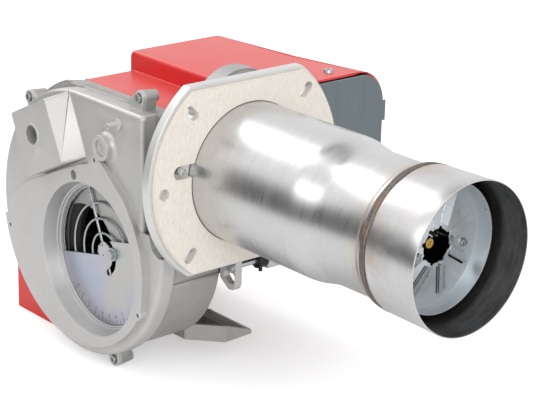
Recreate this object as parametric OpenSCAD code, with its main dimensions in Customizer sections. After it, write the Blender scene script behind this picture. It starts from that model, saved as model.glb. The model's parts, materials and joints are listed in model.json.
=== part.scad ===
// Light-oil burner: blast tube along -Y, fan housing behind it, +Z up.
// The origin is on the blast tube's axis, 4 mm in front of the flange plate.

/* [Blast tube] */
// Outer radius of the first stretch of the blast tube
tube_r = 70; // [69:0.5:71]
// Outer radius of the necked stretch of the blast tube
neck_r = 64.5; // [63.5:0.5:65.5]
// Outer radius of the mouth cup at its front rim
mouth_r = 71; // [70.5:0.5:72]
// Distance from the origin to the front rim of the mouth
mouth_reach = 297; // [290:1:305]
// Wall of the tube and of the mouth cup
tube_wall = 1.5; // [1:0.25:2]

/* [Boiler flange] */
// Radius of the flange plate's round sides
flange_r = 117; // [116:0.5:118]
// Half of the height between the flange plate's flats
flange_half = 94.5; // [94:0.5:96]
// Thickness of the flange plate
flange_t = 10; // [9:0.5:11]
// Thickness of the insulating gasket
gasket_t = 6; // [5:0.5:7]
// Width of the four radial slots
slot_w = 9; // [8.5:0.5:9]

/* [Fan housing] */
// Radius of the volute's outer rim
volute_r = 139; // [138:0.5:140]
// Height of the casting's flat top above the tube axis
casting_top = 51; // [50:0.5:51]
// Wall of the castings
cast_wall = 4; // [3.5:0.5:4.5]
// Radius of the air intake opening
intake_r = 74; // [73.5:0.5:74.5]

/* [Fan] */
// Outer radius of the fan wheel
fan_r = 78; // [76:1:79]
// Number of blades on the fan wheel
blades = 36; // [30:2:36]

/* [Hood] */
// Height of the hood's top above the tube axis
hood_top = 70; // [69:0.5:70]
// Wall of the hood
hood_wall = 2.5; // [2:0.25:3]

/* [Hidden] */
$fn = 96;

far = 400;
e = 0.01;

// Places along the blast tube, measured forward from the origin
step_start = 132;
step_end = 171;
weld_at = 229;
weld_w = 7;
tube_tail = 54;
plate_front = 4;
slot_at = 100;

// Places across the fan housing
fan_y = 150;
fan_z = -118;
volute_y = 175;
volute_z = -88;
cover_x = -77;
plateau_x = -84;
pad_x = -98;
parting_x = -60;
band_x = -54;
cast_front = 68;
notch_z = -67;
rim_round = 4.5;
rim_end = 196;
rim_top = casting_top - 1;
rim_x = -38.8;
body_r = volute_r - 3.5;
body_top = casting_top - 5;
body_front = cast_front + 4;

// Intake ring
recess_r = 80.5;
recess_floor_r = 77;
ring_x = -68.5;
lip_x = -62.6;
lip_r = 75.6;
plate_r = intake_r - 0.6;
slot_r = 18.5;
screw_angle = 160;

// Neck between the housing and the blast tube, with a round bulge on its upper side
ring_r = 78;
ring_front = 46;
ring_back = 74;
bulge_r = 47;
bulge_at = [31, 40];
flange_screw = [85, 17];
flange_screw_r = 4;

// Notches in the gasket, from each screw to the tube
notch_at = 15;
notch_r = 6.5;

// Lugs that hold the cover on the housing
lugs = [[280, 20], [89, 63], [131, -227]];
lug_r = 7.5;
lug_face = -65;
bolt_r = 2.5;
tapped = [[138, -9], [65.5, -152], [293, -122]];
wide_hole = [174, -34];
actuator_hole = [226, -2];
actuator_r = 10;

// Shaft line
shaft_r = 6;
pump_shaft_r = 4;
bearing_gap = 0.05;
motor_r = 48;
motor_screw_at = 38.5;
pump_x0 = 138;

// Firing head
diffuser_back = 246;
diffuser_front = 264;
diffuser_r = 60.5;
hole_r = 16;
nozzle_tip = 247;
pipe_r = 9;
rod_x = 26;
rod_z = 24;
rod_r = 4;
electrodes = [[-15, 24], [15, 24]];

// Hood
hood_left = -52;
hood_shelf_left = -38;
hood_step = 23.5;
hood_shelf = 49;
hood_front = 18.4;
hood_back = 221;
hood_rear = 330;
hood_low = -236;
hood_right = 194.5;
hood_side = [[194.5, 17], [176, 110], [165, 230]];
hood_corner = 35;
panel_t = 1.5;

aluminium = [0.78, 0.78, 0.77];
dark_cast = [0.47, 0.47, 0.48];
zinc = [0.72, 0.75, 0.78];
steel = [0.62, 0.61, 0.6];
black = [0.07, 0.07, 0.07];
red = [0.85, 0.12, 0.12];
brass = [0.72, 0.56, 0.28];

// Frames: the flat shape's axes become Y and Z (or X and Z), and its height runs as named
module rightward(x) translate([x, 0, 0]) rotate([90, 0, 90]) children();
module leftward(x) translate([x, 0, 0]) mirror([1, 0, 0]) rotate([90, 0, 90]) children();
module forward(y) translate([0, y, 0]) rotate([90, 0, 0]) children();
module backward(y) translate([0, y, 0]) mirror([0, 1, 0]) rotate([90, 0, 0]) children();

module rect(x0, y0, x1, y1) translate([x0, y0]) square([x1 - x0, y1 - y0]);

module round_rect(x0, y0, x1, y1, r) {
    rect(x0 + r, y0, x1 - r, y1);
    rect(x0, y0 + r, x1, y1 - r);
    for (x = [x0 + r, x1 - r], y = [y0 + r, y1 - r]) translate([x, y]) circle(r);
}

module slot2d(length, w) {
    rect(-length / 2 + w / 2, -w / 2, length / 2 - w / 2, w / 2);
    for (s = [-1, 1]) translate([s * (length - w) / 2, 0]) circle(d = w);
}

module ring2d(r_out, r_in) difference() {
    circle(r_out);
    circle(r_in);
}

// A straight round bar between two points
module bar(a, b, r) {
    d = b - a;
    length = norm(d);
    translate(a) rotate([0, acos(d[2] / length), atan2(d[1], d[0])]) cylinder(r = r, h = length);
}

module hex2d(r) circle(r, $fn = 6);

// A hexagon screw head with a slim washer under it, standing on z = 0
module hex_head(r, h) {
    cylinder(r = r * 1.25, h = 1.2);
    linear_extrude(h) hex2d(r);
}

// A pan head with a cross recess, standing on z = 0
module pan_head(r, h) difference() {
    cylinder(r1 = r, r2 = r * 0.82, h = h);
    for (a = [0, 90]) translate([0, 0, h]) rotate(a) cube([r * 1.1, r * 0.26, h], center = true);
}

// Boiler flange: round at the sides, flat at the top and bottom, four radial slots
module flange2d(r, half) intersection() {
    circle(r);
    rect(-r, -half, r, half);
}

module radial_slots() for (a = [45:90:315]) rotate(a) translate([slot_at, 0]) slot2d(17, slot_w);

module flange_screw_places() for (s = [-1, 1]) translate([s * flange_screw[0], flange_screw[1]]) children();

module flange_plate() color(aluminium) forward(plate_front + flange_t) linear_extrude(flange_t) difference() {
    flange2d(flange_r, flange_half);
    circle(tube_r + 0.5);
    radial_slots();
    flange_screw_places() circle(flange_screw_r + 0.5);
}

module flange_gasket() color([0.87, 0.85, 0.81]) forward(plate_front) linear_extrude(gasket_t) difference() {
    flange2d(flange_r - 4, flange_half - 4);
    circle(tube_r + 0.5);
    radial_slots();
    for (s = [-1, 1]) {
        translate([s * flange_screw[0], notch_at]) circle(notch_r);
        translate([s * (flange_screw[0] - 9), notch_at]) square([18, 2 * notch_r], center = true);
        translate([s * 103, -3]) circle(5.5);
    }
}

// Split collar behind the flange plate, with two ears that the clamp bolt draws together
collar_front = plate_front + flange_t;
collar_back = 40;
collar_r = 84;
ear_left = [-1, 7];
ear_right = [41, 58];
right_low = -115;
bolt_y = 20;
bolt_z = -105.5;
nut_t = 11;

module ear_left() rightward(ear_left[0]) linear_extrude(ear_left[1] - ear_left[0]) difference() {
    union() {
        polygon([[collar_front, -72], [collar_front, -122], [collar_front + 11, -130.6], [collar_back - 1, -121],
            [collar_back - 1, -72]]);
        translate([collar_front + 7.8, -122.6]) circle(7.8);
    }
    polygon([[collar_front + 2, -114], [collar_front + 2, -119], [collar_front + 5, -123.5],
        [collar_front + 12.5, -123.5], [collar_front + 18, -119], [collar_front + 18, -113],
        [collar_front + 6, -111.5]]);
    translate([bolt_y, bolt_z]) circle(3.2);
}

module ear_right() rightward(ear_right[0]) linear_extrude(ear_right[1] - ear_right[0]) difference() {
    polygon([[collar_front, -40], [collar_front, right_low], [collar_front + 17, right_low],
        [collar_back - 4, right_low + 8], [collar_back - 4, -40]]);
    translate([bolt_y, bolt_z]) circle(3.2);
}

module clamp_collar() color(aluminium) difference() {
    union() {
        difference() {
            forward(collar_back) linear_extrude(collar_back - collar_front) circle(collar_r);
            translate([ear_left[1], collar_front - 1, -far]) cube([ear_right[0] - ear_left[1], 60, far]);
        }
        ear_left();
        ear_right();
    }
    forward(collar_back + 1) linear_extrude(60) circle(tube_r + 0.3);
    forward(collar_back + 1) linear_extrude(60) flange_screw_places() circle(8.6);
}

module clamp_bolt() color(zinc) {
    bar([ear_left[0] - 1, bolt_y, bolt_z], [ear_right[1] + 9, bolt_y, bolt_z], 3);
    translate([ear_left[0], bolt_y, bolt_z]) rotate([0, -90, 0]) hex_head(4.6, 3.5);
}

// A round adjusting nut with a tommy pin inside the gap, and a hexagon nut outside it
module clamp_nuts() color(black) translate([ear_right[0] - nut_t - 0.1, bolt_y, bolt_z]) rotate([0, 90, 0]) difference() {
    union() {
        cylinder(r = 8, h = nut_t);
        translate([5, 0, nut_t - 4.5]) rotate([0, 90, 0]) cylinder(r = 2, h = 7.5);
        translate([0, 0, nut_t + 0.1 + ear_right[1] - ear_right[0]]) hex_head(5.5, 6);
    }
    translate([0, 0, -1]) cylinder(r = 3, h = 60);
}

// The casting's outline: a disc, a flat-topped outlet in front of it, and the notch under the outlet
module cast2d(r, top, front) difference() {
    union() {
        translate([volute_y, volute_z]) circle(r);
        rect(front, notch_z, volute_y, top);
    }
    polygon([[front, far], [front, notch_z], [front - 11, notch_z], [front - 16, notch_z - 13],
        [front - 26, notch_z - 19], [-far, notch_z - 19], [-far, far]]);
}

// Outer skin of the cover, with its outer edges rounded
module cover_skin(h) {
    r = rim_round;
    difference() {
        translate([volute_y, volute_z, 0]) rotate_extrude() {
            rect(0, 0, volute_r - r, h);
            rect(0, 0, volute_r, h - r);
            translate([volute_r - r, h - r]) circle(r);
        }
        translate([0, 0, -1]) linear_extrude(h + 2)
            polygon([[cast_front + r, far], [cast_front + r, notch_z], [cast_front - 11, notch_z],
                [cast_front - 16, notch_z - 13], [cast_front - 26, notch_z - 19], [-far, notch_z - 19],
                [-far, far]]);
    }
    linear_extrude(h) rect(cast_front + r, notch_z, volute_y, casting_top - r);
    linear_extrude(h - r) rect(cast_front, notch_z, volute_y, casting_top);
    translate([cast_front + r, casting_top - r, h - r]) {
        rotate([0, 90, 0]) cylinder(r = r, h = volute_y - cast_front - r);
        rotate([90, 0, 0]) cylinder(r = r, h = casting_top - r - notch_z);
        sphere(r);
    }
}

// Raised field round the intake; its upper edge runs from the rim to the top hole and down the front
module plateau2d() {
    intersection() {
        translate([volute_y, volute_z]) circle(volute_r - 10);
        polygon([[far, -300], [far, -112], [297, -110], [289, -89], [271, -69], [200, -36], [164, -20],
            [149, -16], [138, -3], [128, -8], [106, -26], [88, -40], [73, -60], [62, -85], [59, -113],
            [60, -135], [64, -165], [74, -300]]);
    }
    for (p = tapped) translate(p) circle(5);
}

// Square pad for a damper actuator, raised and turned, with one long sloping side
module actuator_pad() hull() {
    translate([219.7, -4, -pad_x]) rotate(-26)
        for (x = [-31, 31], y = [-31, 31]) translate([x, y, -2]) cylinder(r = 3, h = 2, $fn = 32);
    translate([219.7, -4, -cover_x]) rotate(-26)
        for (x = [-47, 32], y = [-32, 32]) translate([x, y, -2]) cylinder(r = 3, h = 2, $fn = 32);
}

module boss() translate([124, 7.5, -cover_x - e]) rotate_extrude() {
    difference() {
        rect(0, 0, 19, 10);
        translate([19, 6]) circle(6);
        rect(13, 6, 20, 11);
    }
}

module intake_cover() color(aluminium) difference() {
    union() {
        difference() {
            leftward(parting_x) cover_skin(parting_x - cover_x);
            rightward(cover_x + cast_wall) linear_extrude(30)
                cast2d(volute_r - cast_wall, casting_top - cast_wall, cast_front + cast_wall);
        }
        leftward(cover_x + 1) linear_extrude(cover_x + 1 - plateau_x) plateau2d();
        leftward(lip_x) translate([fan_y, fan_z, 0]) cylinder(r = recess_r + 5, h = lip_x - cover_x);
        leftward(0) actuator_pad();
        leftward(pad_x + e) translate([actuator_hole[0], actuator_hole[1], 0]) cylinder(r = 12.5, h = 1.2);
        leftward(0) boss();
        for (p = lugs) leftward(parting_x) translate([p[0], p[1], 0]) cylinder(r = lug_r, h = parting_x - lug_face);
        leftward(parting_x) linear_extrude(parting_x - lug_face) lug_webs();
        pointer();
    }
    leftward(0) translate([fan_y, fan_z, 0]) {
        translate([0, 0, -ring_x]) cylinder(r1 = recess_floor_r, r2 = recess_r, h = ring_x - plateau_x + e);
        translate([0, 0, -ring_x - 2.5]) cylinder(r = lip_r, h = 5);
        translate([0, 0, 50]) cylinder(r = intake_r, h = 50);
    }
    leftward(-50) {
        translate([actuator_hole[0], actuator_hole[1], 0]) cylinder(r = actuator_r, h = 60);
        translate([wide_hole[0], wide_hole[1], 26]) cylinder(r = 5, h = 20);
        for (p = tapped) translate([p[0], p[1], 24]) cylinder(r = 2.1, h = 20);
        translate([124, 7.5, 32]) cylinder(r = 8.5, h = 20);
        translate([104, 36, 0]) cylinder(r = 2, h = 60);
        for (p = lugs) {
            translate([p[0], p[1], 0]) cylinder(r = bolt_r + 0.3, h = 60);
            translate([p[0], p[1], 12.4]) cylinder(r = 4.9, h = 20);
        }
    }
}

// Cast pointer on the recess wall, read against the damper's scale
module pointer() leftward(0) translate([fan_y, fan_z, 0]) rotate(-22) for (s = [-1, 1])
    translate([75, s * 3.4 - 0.8, -ring_x]) cube([5, 1.6, 7]);

// Webs that join the lugs to the rim
module lug_webs() for (p = lugs) {
    d = [volute_y - p[0], volute_z - p[1]] / norm([volute_y - p[0], volute_z - p[1]]);
    n = [-d[1], d[0]];
    polygon([p + n * lug_r, p - n * lug_r, p - n * 13 + d * 16, p + n * 13 + d * 16]);
}

module fan_housing() color(dark_cast) difference() {
    union() {
        parting_band();
        rightward(parting_x) linear_extrude(-parting_x) cast2d(body_r, body_top, body_front);
        rightward(parting_x) linear_extrude(-parting_x) intersection() {
            translate([157, -98]) circle(118);
            rect(0, -300, 140, -118);
        }
        rightward(parting_x) linear_extrude(12) lug_webs();
        for (p = lugs) rightward(parting_x) translate([p[0], p[1], 0]) cylinder(r1 = lug_r, r2 = 6, h = 16);
        translate([-4, body_front, notch_z]) cube([84, 88, body_top - notch_z]);
        intersection() {
            union() {
                forward(0) rotate_extrude() polygon([[0, -ring_front], [ring_r, -ring_front],
                    [ring_r, -ring_front - 7], [tube_r - 1.5, -ring_back + 10], [tube_r - 2.2, -ring_back],
                    [0, -ring_back]]);
                forward(cast_front) translate([bulge_at[0], bulge_at[1], 0]) {
                    cylinder(r = bulge_r, h = cast_front - ring_front - 2);
                    cylinder(r = bulge_r - 3, h = cast_front - ring_front);
                }
            }
            translate([parting_x, 0, -ring_r]) cube([160, 100, 200]);
        }
        rightward(0) translate([fan_y, fan_z, 0]) cylinder(r = 60, h = 4);
    }
    difference() {
        rightward(parting_x - 1) linear_extrude(-parting_x - 4 + 1)
            cast2d(body_r - cast_wall, body_top - cast_wall, body_front + cast_wall);
        rightward(-11) translate([fan_y, fan_z, 0]) cylinder(r = 30, h = 20);
    }
    translate([-50, body_front + 4, notch_z + 4]) cube([126, 80, body_top - notch_z - 8]);
    intersection() {
        forward(ring_back + 6) cylinder(r = tube_r - 10, h = 80);
        translate([-50, 50, notch_z + 4]) cube([126, 90, body_top - notch_z - 8]);
    }
    forward(tube_tail) cylinder(r = tube_r + 0.1, h = 80);
    for (p = lugs) rightward(parting_x - 1) translate([p[0], p[1], 0]) cylinder(r = bolt_r, h = 13);
    rightward(-30) translate([fan_y, fan_z, 0]) cylinder(r = shaft_r + 3, h = 60);
    translate([rod_x, 140, rod_z]) rotate([-90, 0, 0]) cylinder(r = rod_r + 0.3, h = 40);
    translate([60, 140, 20]) rotate([-90, 0, 0]) cylinder(r = 8, h = 40);
    translate([60, 120, -30]) rotate([0, 90, 0]) cylinder(r = 6.05, h = 40);
    for (a = motor_screw_angles) on_shaft(-5) rotate(a) translate([motor_screw_at, 0, 0])
        cylinder(r = 2.5, h = 12);
    for (p = foot_holes) rightward(-6) translate([p[0], p[1], 0]) cylinder(r = 3, h = 12);
}

// Sloped band along the parting line; it bulges at the back, where the scroll is widest
module parting_band() {
    w = band_x - parting_x;
    intersection() {
        rightward(parting_x) {
            translate([volute_y, volute_z, 0]) cylinder(r1 = volute_r, r2 = volute_r - w, h = w);
            linear_extrude(w) rect(cast_front + 4, notch_z, volute_y, casting_top - w);
        }
        rightward(parting_x - 1) linear_extrude(20) cast2d(volute_r, casting_top, cast_front);
    }
    intersection() {
        rightward(parting_x) translate([volute_y, volute_z, 0]) {
            cylinder(r1 = volute_r + 4, r2 = volute_r + 3, h = 5);
            translate([0, 0, 4]) cylinder(r1 = volute_r + 7.5, r2 = volute_r + 3, h = 16);
        }
        rightward(parting_x - 1) linear_extrude(30) rect(rim_end, 10, 270, rim_top);
    }
    backward(cast_front) linear_extrude(rim_end - cast_front + 1)
        polygon([[parting_x, body_top - 20], [parting_x, casting_top], [parting_x + 1, casting_top],
            [parting_x + 4, rim_top - 2.5], [parting_x + 6, rim_top], [rim_x - 1, rim_top], [rim_x, rim_top - 1],
            [rim_x, body_top - 20]]);
    rightward(parting_x) linear_extrude(w) rect(cast_front, notch_z, cast_front + 6, casting_top - 6);
}

module cover_bolts() color(zinc) for (p = lugs) {
    leftward(-62.4) translate([p[0], p[1], 0]) difference() {
        cylinder(r = 4.3, h = 5);
        translate([0, 0, 2.5]) linear_extrude(4) hex2d(2.5);
    }
    rightward(-63) translate([p[0], p[1], 0]) cylinder(r = bolt_r, h = 14);
}

module inspection_plug() color([0.66, 0.66, 0.66]) leftward(-82.1) translate([124, 7.5, 0]) difference() {
    cylinder(r = 8.5, h = 2.5);
    translate([0, 0, 1]) linear_extrude(3) hex2d(4);
}

module pressure_nipple() color(aluminium) leftward(-72) translate([104, 36, 0]) difference() {
    rotate_extrude() polygon([[0, 0], [2, 0], [2, 5], [5.5, 5], [5.5, 8], [3, 9], [3, 20], [0, 20]]);
    translate([0, 0, -1]) cylinder(r = 1.2, h = 30);
}

// Wire guard behind the intake ring: three rings, four spokes and a tab for the damper's screw
guard_x = -61;
guard_wire = 1.3;
guard_spoke = 1.5;
guard_rings = [22.5, 37.8, 54.4];
guard_screw_r = 2.5;

module guard_ring(r) rotate_extrude() translate([r, 0]) circle(guard_wire, $fn = 24);

module wire_guard() color(zinc) difference() {
    rightward(guard_x) translate([fan_y, fan_z, 0]) {
        for (r = guard_rings) guard_ring(r);
        for (a = [66:90:336]) rotate(a) rotate([0, 90, 0]) translate([0, 0, 12]) cylinder(r = guard_spoke, h = 62);
        translate([0, 0, lip_x - guard_x]) linear_extrude(2) ring2d(82, 71.5);
        rotate(screw_angle) translate([12, -7, -0.8]) cube([18, 14, 1.6]);
        translate([0, 0, -0.8]) linear_extrude(1.6) ring2d(13, 9);
    }
    rightward(-80) translate([fan_y, fan_z, 0]) rotate(screw_angle) translate([slot_r, 0, 0])
        cylinder(r = guard_screw_r, h = 40);
}

// Air guide behind the guard: a flat disc whose opening sits off centre, towards the back
guide_x = -58.6;
guide_hole = [187, -126.5];

module air_guide_plate() color([0.7, 0.7, 0.69]) rightward(guide_x) linear_extrude(1.5) difference() {
    translate([fan_y, fan_z]) circle(84);
    intersection() {
        translate([fan_y, fan_z]) circle(71);
        translate(guide_hole) circle(51.5);
    }
    translate([fan_y, fan_z]) rotate(screw_angle) translate([slot_r, 0]) circle(7);
}

// Air damper: a stepped half disc with a curved slot for the clamp screw
plate_x = -64.4;
plate_tilt = -13;
slot_from = 62;
slot_to = 242;

module arc_slot2d(r, w, a0, a1) {
    difference() {
        ring2d(r + w / 2, r - w / 2);
        rotate(a0) rect(-80, -80, 80, 0);
        rotate(a1 - 180) rect(-80, -80, 80, 0);
    }
    for (a = [a0, a1]) rotate(a) translate([r, 0]) circle(w / 2 - 0.15);
}

module damper_plate() color([0.74, 0.78, 0.8]) rightward(plate_x) translate([fan_y, fan_z, 0])
    linear_extrude(1.2) difference() {
        circle(plate_r);
        rotate(plate_tilt) {
            rect(7, 0, 80, 80);
            rect(-2, 10, 80, 80);
            rect(-80, 15.4, 80, 80);
        }
        arc_slot2d(slot_r, 6.6, slot_from, slot_to);
        circle(0.9);
    }

module damper_screw() color(zinc) {
    rightward(plate_x - 5) translate([fan_y, fan_z, 0]) rotate(screw_angle) translate([slot_r, 0, 0])
        cylinder(r = guard_screw_r, h = 13);
    leftward(plate_x - 0.3) translate([fan_y, fan_z, 0]) rotate(screw_angle) translate([slot_r, 0, 0])
        hex_head(5.5, 5.5);
}

// Bell mouth between the air guide and the fan wheel
module inlet_cone() color(black) rightward(-56.8) translate([fan_y, fan_z, 0]) rotate_extrude()
    polygon([[72, 0], [86, 0], [86, 1.5], [73, 1.5], [66, 3.5], [62, 7], [60.5, 10], [59, 10], [60.5, 6.5],
        [65, 2.3]]);

// Forward-curved fan wheel: ring, back plate, hub and curved blades
blade_x0 = -46;
blade_x1 = -14;
blade_in = 62;

module blade2d() intersection() {
    ring2d(fan_r - 0.5, blade_in);
    translate([blade_in + 4, 9]) ring2d(12.6, 11.6);
    rect(50, -4, 90, 12);
}

module fan_wheel() color(black) rightward(0) translate([fan_y, fan_z, 0]) {
    translate([0, 0, blade_x0]) linear_extrude(2) ring2d(fan_r, fan_r - 9);
    difference() {
        union() {
            translate([0, 0, blade_x1]) linear_extrude(2) circle(fan_r);
            translate([0, 0, blade_x1 - 18]) cylinder(r1 = 13, r2 = 20, h = 18 + e);
        }
        translate([0, 0, blade_x1 - 30]) cylinder(r = shaft_r, h = 60);
    }
    for (i = [0:blades - 1]) rotate(i * 360 / blades) translate([0, 0, blade_x0 + 1])
        linear_extrude(blade_x1 - blade_x0) blade2d();
}

module motor_shaft() color(steel) {
    rightward(-36) translate([fan_y, fan_z, 0]) cylinder(r = shaft_r, h = 153);
    rightward(117 - e) translate([fan_y, fan_z, 0]) cylinder(r = pump_shaft_r, h = 35);
}

module on_shaft(x) rightward(x) translate([fan_y, fan_z, 0]) children();

module motor_rotor() color(steel) on_shaft(26) difference() {
    cylinder(r = 25, h = 56);
    translate([0, 0, -1]) cylinder(r = shaft_r, h = 60);
}

module motor_stator() color([0.45, 0.45, 0.47]) on_shaft(24) linear_extrude(60) ring2d(motor_r - 3, 25.8);

motor_screw_angles = [45, 135, 225, 315];

module motor_casing() color([0.2, 0.21, 0.23]) difference() {
    union() {
        on_shaft(4) cylinder(r = motor_r + 2.5, h = 5);
        on_shaft(4) cylinder(r = motor_r, h = 92);
        for (a = [0:15:165]) on_shaft(24) rotate(a) translate([-motor_r - 2, -1, 0]) cube([2 * motor_r + 4, 2, 60]);
    }
    on_shaft(14) cylinder(r = motor_r - 3, h = 90);
    on_shaft(0) cylinder(r = 11, h = 40);
    for (a = motor_screw_angles) on_shaft(0) rotate(a) translate([motor_screw_at, 0, 0])
        cylinder(r = 2.5, h = 20);
}

module motor_end_cap() color([0.2, 0.21, 0.23]) on_shaft(96) difference() {
    rotate_extrude() polygon([[11, 2], [18, 2], [18, 0], [motor_r, 0], [motor_r, 7], [motor_r - 5, 12], [22, 14],
        [22, 17], [11, 17]]);
    for (a = [0:30:330]) rotate(a) translate([35, 0, 0]) cylinder(r = 3, h = 30);
}

module motor_bearings() color(steel) for (x = [5, 100]) on_shaft(x) linear_extrude(9)
    ring2d(11, shaft_r + bearing_gap);

module motor_screws() color(zinc) for (a = motor_screw_angles) on_shaft(0) rotate(a)
    translate([motor_screw_at, 0, 0]) {
    translate([0, 0, -3]) cylinder(r = 2.5, h = 14);
    translate([0, 0, 14]) hex_head(4.5, 4);
}

module run_capacitor() color([0.82, 0.82, 0.8]) {
    translate([18, 218, -96]) rotate([0, 90, 0]) {
        cylinder(r = 17, h = 58);
        translate([0, 0, 58]) cylinder(r = 14, h = 5);
    }
    translate([28, 194.6, -100]) cube([34, 10, 8]);
}

module pump_coupling() color([0.85, 0.62, 0.2]) on_shaft(117) difference() {
    union() {
        cylinder(r = 11, h = 18);
        for (a = [0, 120, 240]) rotate(a) translate([8, -2.5, 0]) cube([6, 5, 18]);
    }
    translate([0, 0, -1]) cylinder(r = pump_shaft_r, h = 30);
}

module pump_bracket() color(aluminium) on_shaft(113.2) difference() {
    union() {
        linear_extrude(3) ring2d(30, 16);
        for (a = [30:120:270]) rotate(a) translate([22, -6, 0]) cube([7, 12, 25]);
        translate([0, 0, 22]) linear_extrude(3) ring2d(30, 16);
    }
    translate([0, 0, -1]) cylinder(r = 16, h = 40);
}

module oil_pump() color([0.7, 0.7, 0.69]) difference() {
    union() {
        on_shaft(pump_x0 + 0.2) cylinder(r = 24, h = 26);
        rightward(pump_x0 + 0.2) linear_extrude(22)
            round_rect(fan_y - 26, fan_z - 30, fan_y + 26, fan_z + 28, 6);
        on_shaft(pump_x0 + 26) cylinder(r = 20, h = 2.5);
        translate([150, fan_y, fan_z + 24]) cylinder(r = 6, h = 10);
    }
    on_shaft(pump_x0 - 1) cylinder(r = pump_shaft_r + bearing_gap, h = 17);
    for (y = [-14, 14]) translate([150, fan_y + y, fan_z - 31]) cylinder(r = 5.7, h = 13);
    translate([150, fan_y, fan_z + 25]) cylinder(r = 3, h = 12);
}

module solenoid_coil() color(black) {
    translate([140, fan_y - 62, fan_z - 14]) cube([26, 30, 28]);
    forward(fan_y - 26) translate([153, fan_z, 0]) cylinder(r = 6, h = 6);
}

// Copper pipe from the pump to the union on the head chamber
pipe_run = 3;
pipe_bend = 12;

module elbow(a) rotate_extrude(angle = a) translate([pipe_bend, 0]) circle(pipe_run);

module oil_pipe() color([0.72, 0.45, 0.28]) {
    translate([150, fan_y, fan_z + 26]) cylinder(r = pipe_run, h = 50);
    translate([150, fan_y - pipe_bend, -42]) rotate([90, 0, 90]) elbow(90);
    translate([150, fan_y - pipe_bend, -42 + pipe_bend]) rotate([90, 0, 0]) cylinder(r = pipe_run, h = 6);
    translate([150 - pipe_bend, 132, -30]) mirror([0, 1, 0]) elbow(90);
    translate([150 - pipe_bend, 120, -30]) rotate([0, -90, 0]) cylinder(r = pipe_run, h = 44);
}

module pipe_union() color(brass) translate([74, 120, -30]) rotate([0, 90, 0]) difference() {
    union() {
        cylinder(r = 6, h = 8);
        translate([0, 0, 6]) linear_extrude(4) hex2d(9);
        translate([0, 0, 10]) linear_extrude(10) hex2d(8);
    }
    translate([0, 0, -1]) cylinder(r = pipe_run, h = 40);
}

// Blast tube: first stretch, smooth step in, necked stretch; distances run forward
function step_radius(t) = (tube_r + neck_r) / 2 + (tube_r - neck_r) / 2 * cos(180 * t);
step_points = [for (i = [0:10]) [step_radius(i / 10), step_start + (step_end - step_start) * i / 10]];
step_inner = [for (i = [10:-1:0]) [step_radius(i / 10) - tube_wall,
    step_start + (step_end - step_start) * i / 10]];

module blast_tube() color(steel) forward(0) difference() {
    rotate_extrude() polygon(concat(
        [[tube_r - tube_wall, -tube_tail], [tube_r, -tube_tail]],
        step_points,
        [[neck_r, weld_at - 8], [neck_r + 2.4, weld_at - 4], [neck_r + 2.8, weld_at],
            [neck_r + 2.8 - tube_wall, weld_at], [neck_r - tube_wall, weld_at - 8]],
        step_inner));
}

module weld_seam() color([0.45, 0.42, 0.4]) forward(-weld_at) rotate_extrude() {
    rect(neck_r + 1, 0, neck_r + 3, weld_w);
    translate([neck_r + 2.6, 2.2]) circle(2.1);
    translate([neck_r + 3.4, 5.2]) circle(1.7);
}

cup_start = weld_at + weld_w;
cup_r = neck_r + 5;

module mouth_cup() color(steel) forward(-cup_start) rotate_extrude()
    polygon([[neck_r + 2.2, 0], [neck_r + 3.6, 0], [cup_r, 4], [mouth_r - 0.6, mouth_reach - cup_start - 14],
        [mouth_r, mouth_reach - cup_start], [mouth_r - tube_wall, mouth_reach - cup_start],
        [mouth_r - 0.6 - tube_wall, mouth_reach - cup_start - 14], [cup_r - tube_wall, 5]]);

module flange_screws() color(zinc) for (s = [-1, 1]) translate([s * flange_screw[0], 0, flange_screw[1]]) {
    bar([0, collar_front, 0], [0, -7, 0], flange_screw_r);
    translate([0, -7, 0]) rotate([90, 0, 0]) cylinder(r1 = flange_screw_r, r2 = flange_screw_r - 1, h = 1.5);
    translate([0, collar_front, 0]) rotate([-90, 0, 0]) hex_head(6.5, 5.5);
}

// Firing head: everything here slides together along the tube
module nozzle_pipe() color(brass) forward(128) difference() {
    union() {
        cylinder(r = pipe_r, h = 128 + 205);
        linear_extrude(14) hex2d(11);
        translate([0, 0, 8]) rotate([0, 90, 0]) cylinder(r = 5, h = 30);
    }
    translate([0, 0, 4]) cylinder(r = 3.5, h = 400);
}

module head_bracket() color(zinc) difference() {
    union() {
        forward(112) linear_extrude(3) difference() {
            round_rect(-13, -14, 38, 36, 6);
            circle(pipe_r);
        }
        forward(112) translate([rod_x, rod_z, 0]) linear_extrude(9) hex2d(9);
    }
    forward(130) translate([rod_x, rod_z, 0]) cylinder(r = rod_r + 0.3, h = 60);
}

module nozzle_holder() color(brass) forward(-205) difference() {
    union() {
        linear_extrude(22) hex2d(11);
        translate([0, 0, 22]) cylinder(r = 9.5, h = 8);
    }
    translate([0, 0, -1]) cylinder(r = 3.5, h = 23);
    translate([0, 0, 21]) cylinder(r = 7, h = 10);
}

module nozzle() color(brass) forward(-227) difference() {
    union() {
        cylinder(r = 7, h = 8);
        translate([0, 0, 8]) linear_extrude(6) hex2d(8);
        translate([0, 0, 14]) cylinder(r1 = 7, r2 = 4.6, h = nozzle_tip - 241);
    }
    translate([0, 0, nozzle_tip - 228]) cylinder(r = 1.6, h = 3);
}

// Diffuser: rim, shallow cone with eight raised slots, notched centre hole
vane_count = 8;
vane_turn = 13.6;
scallop_turn = 30.5;

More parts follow.
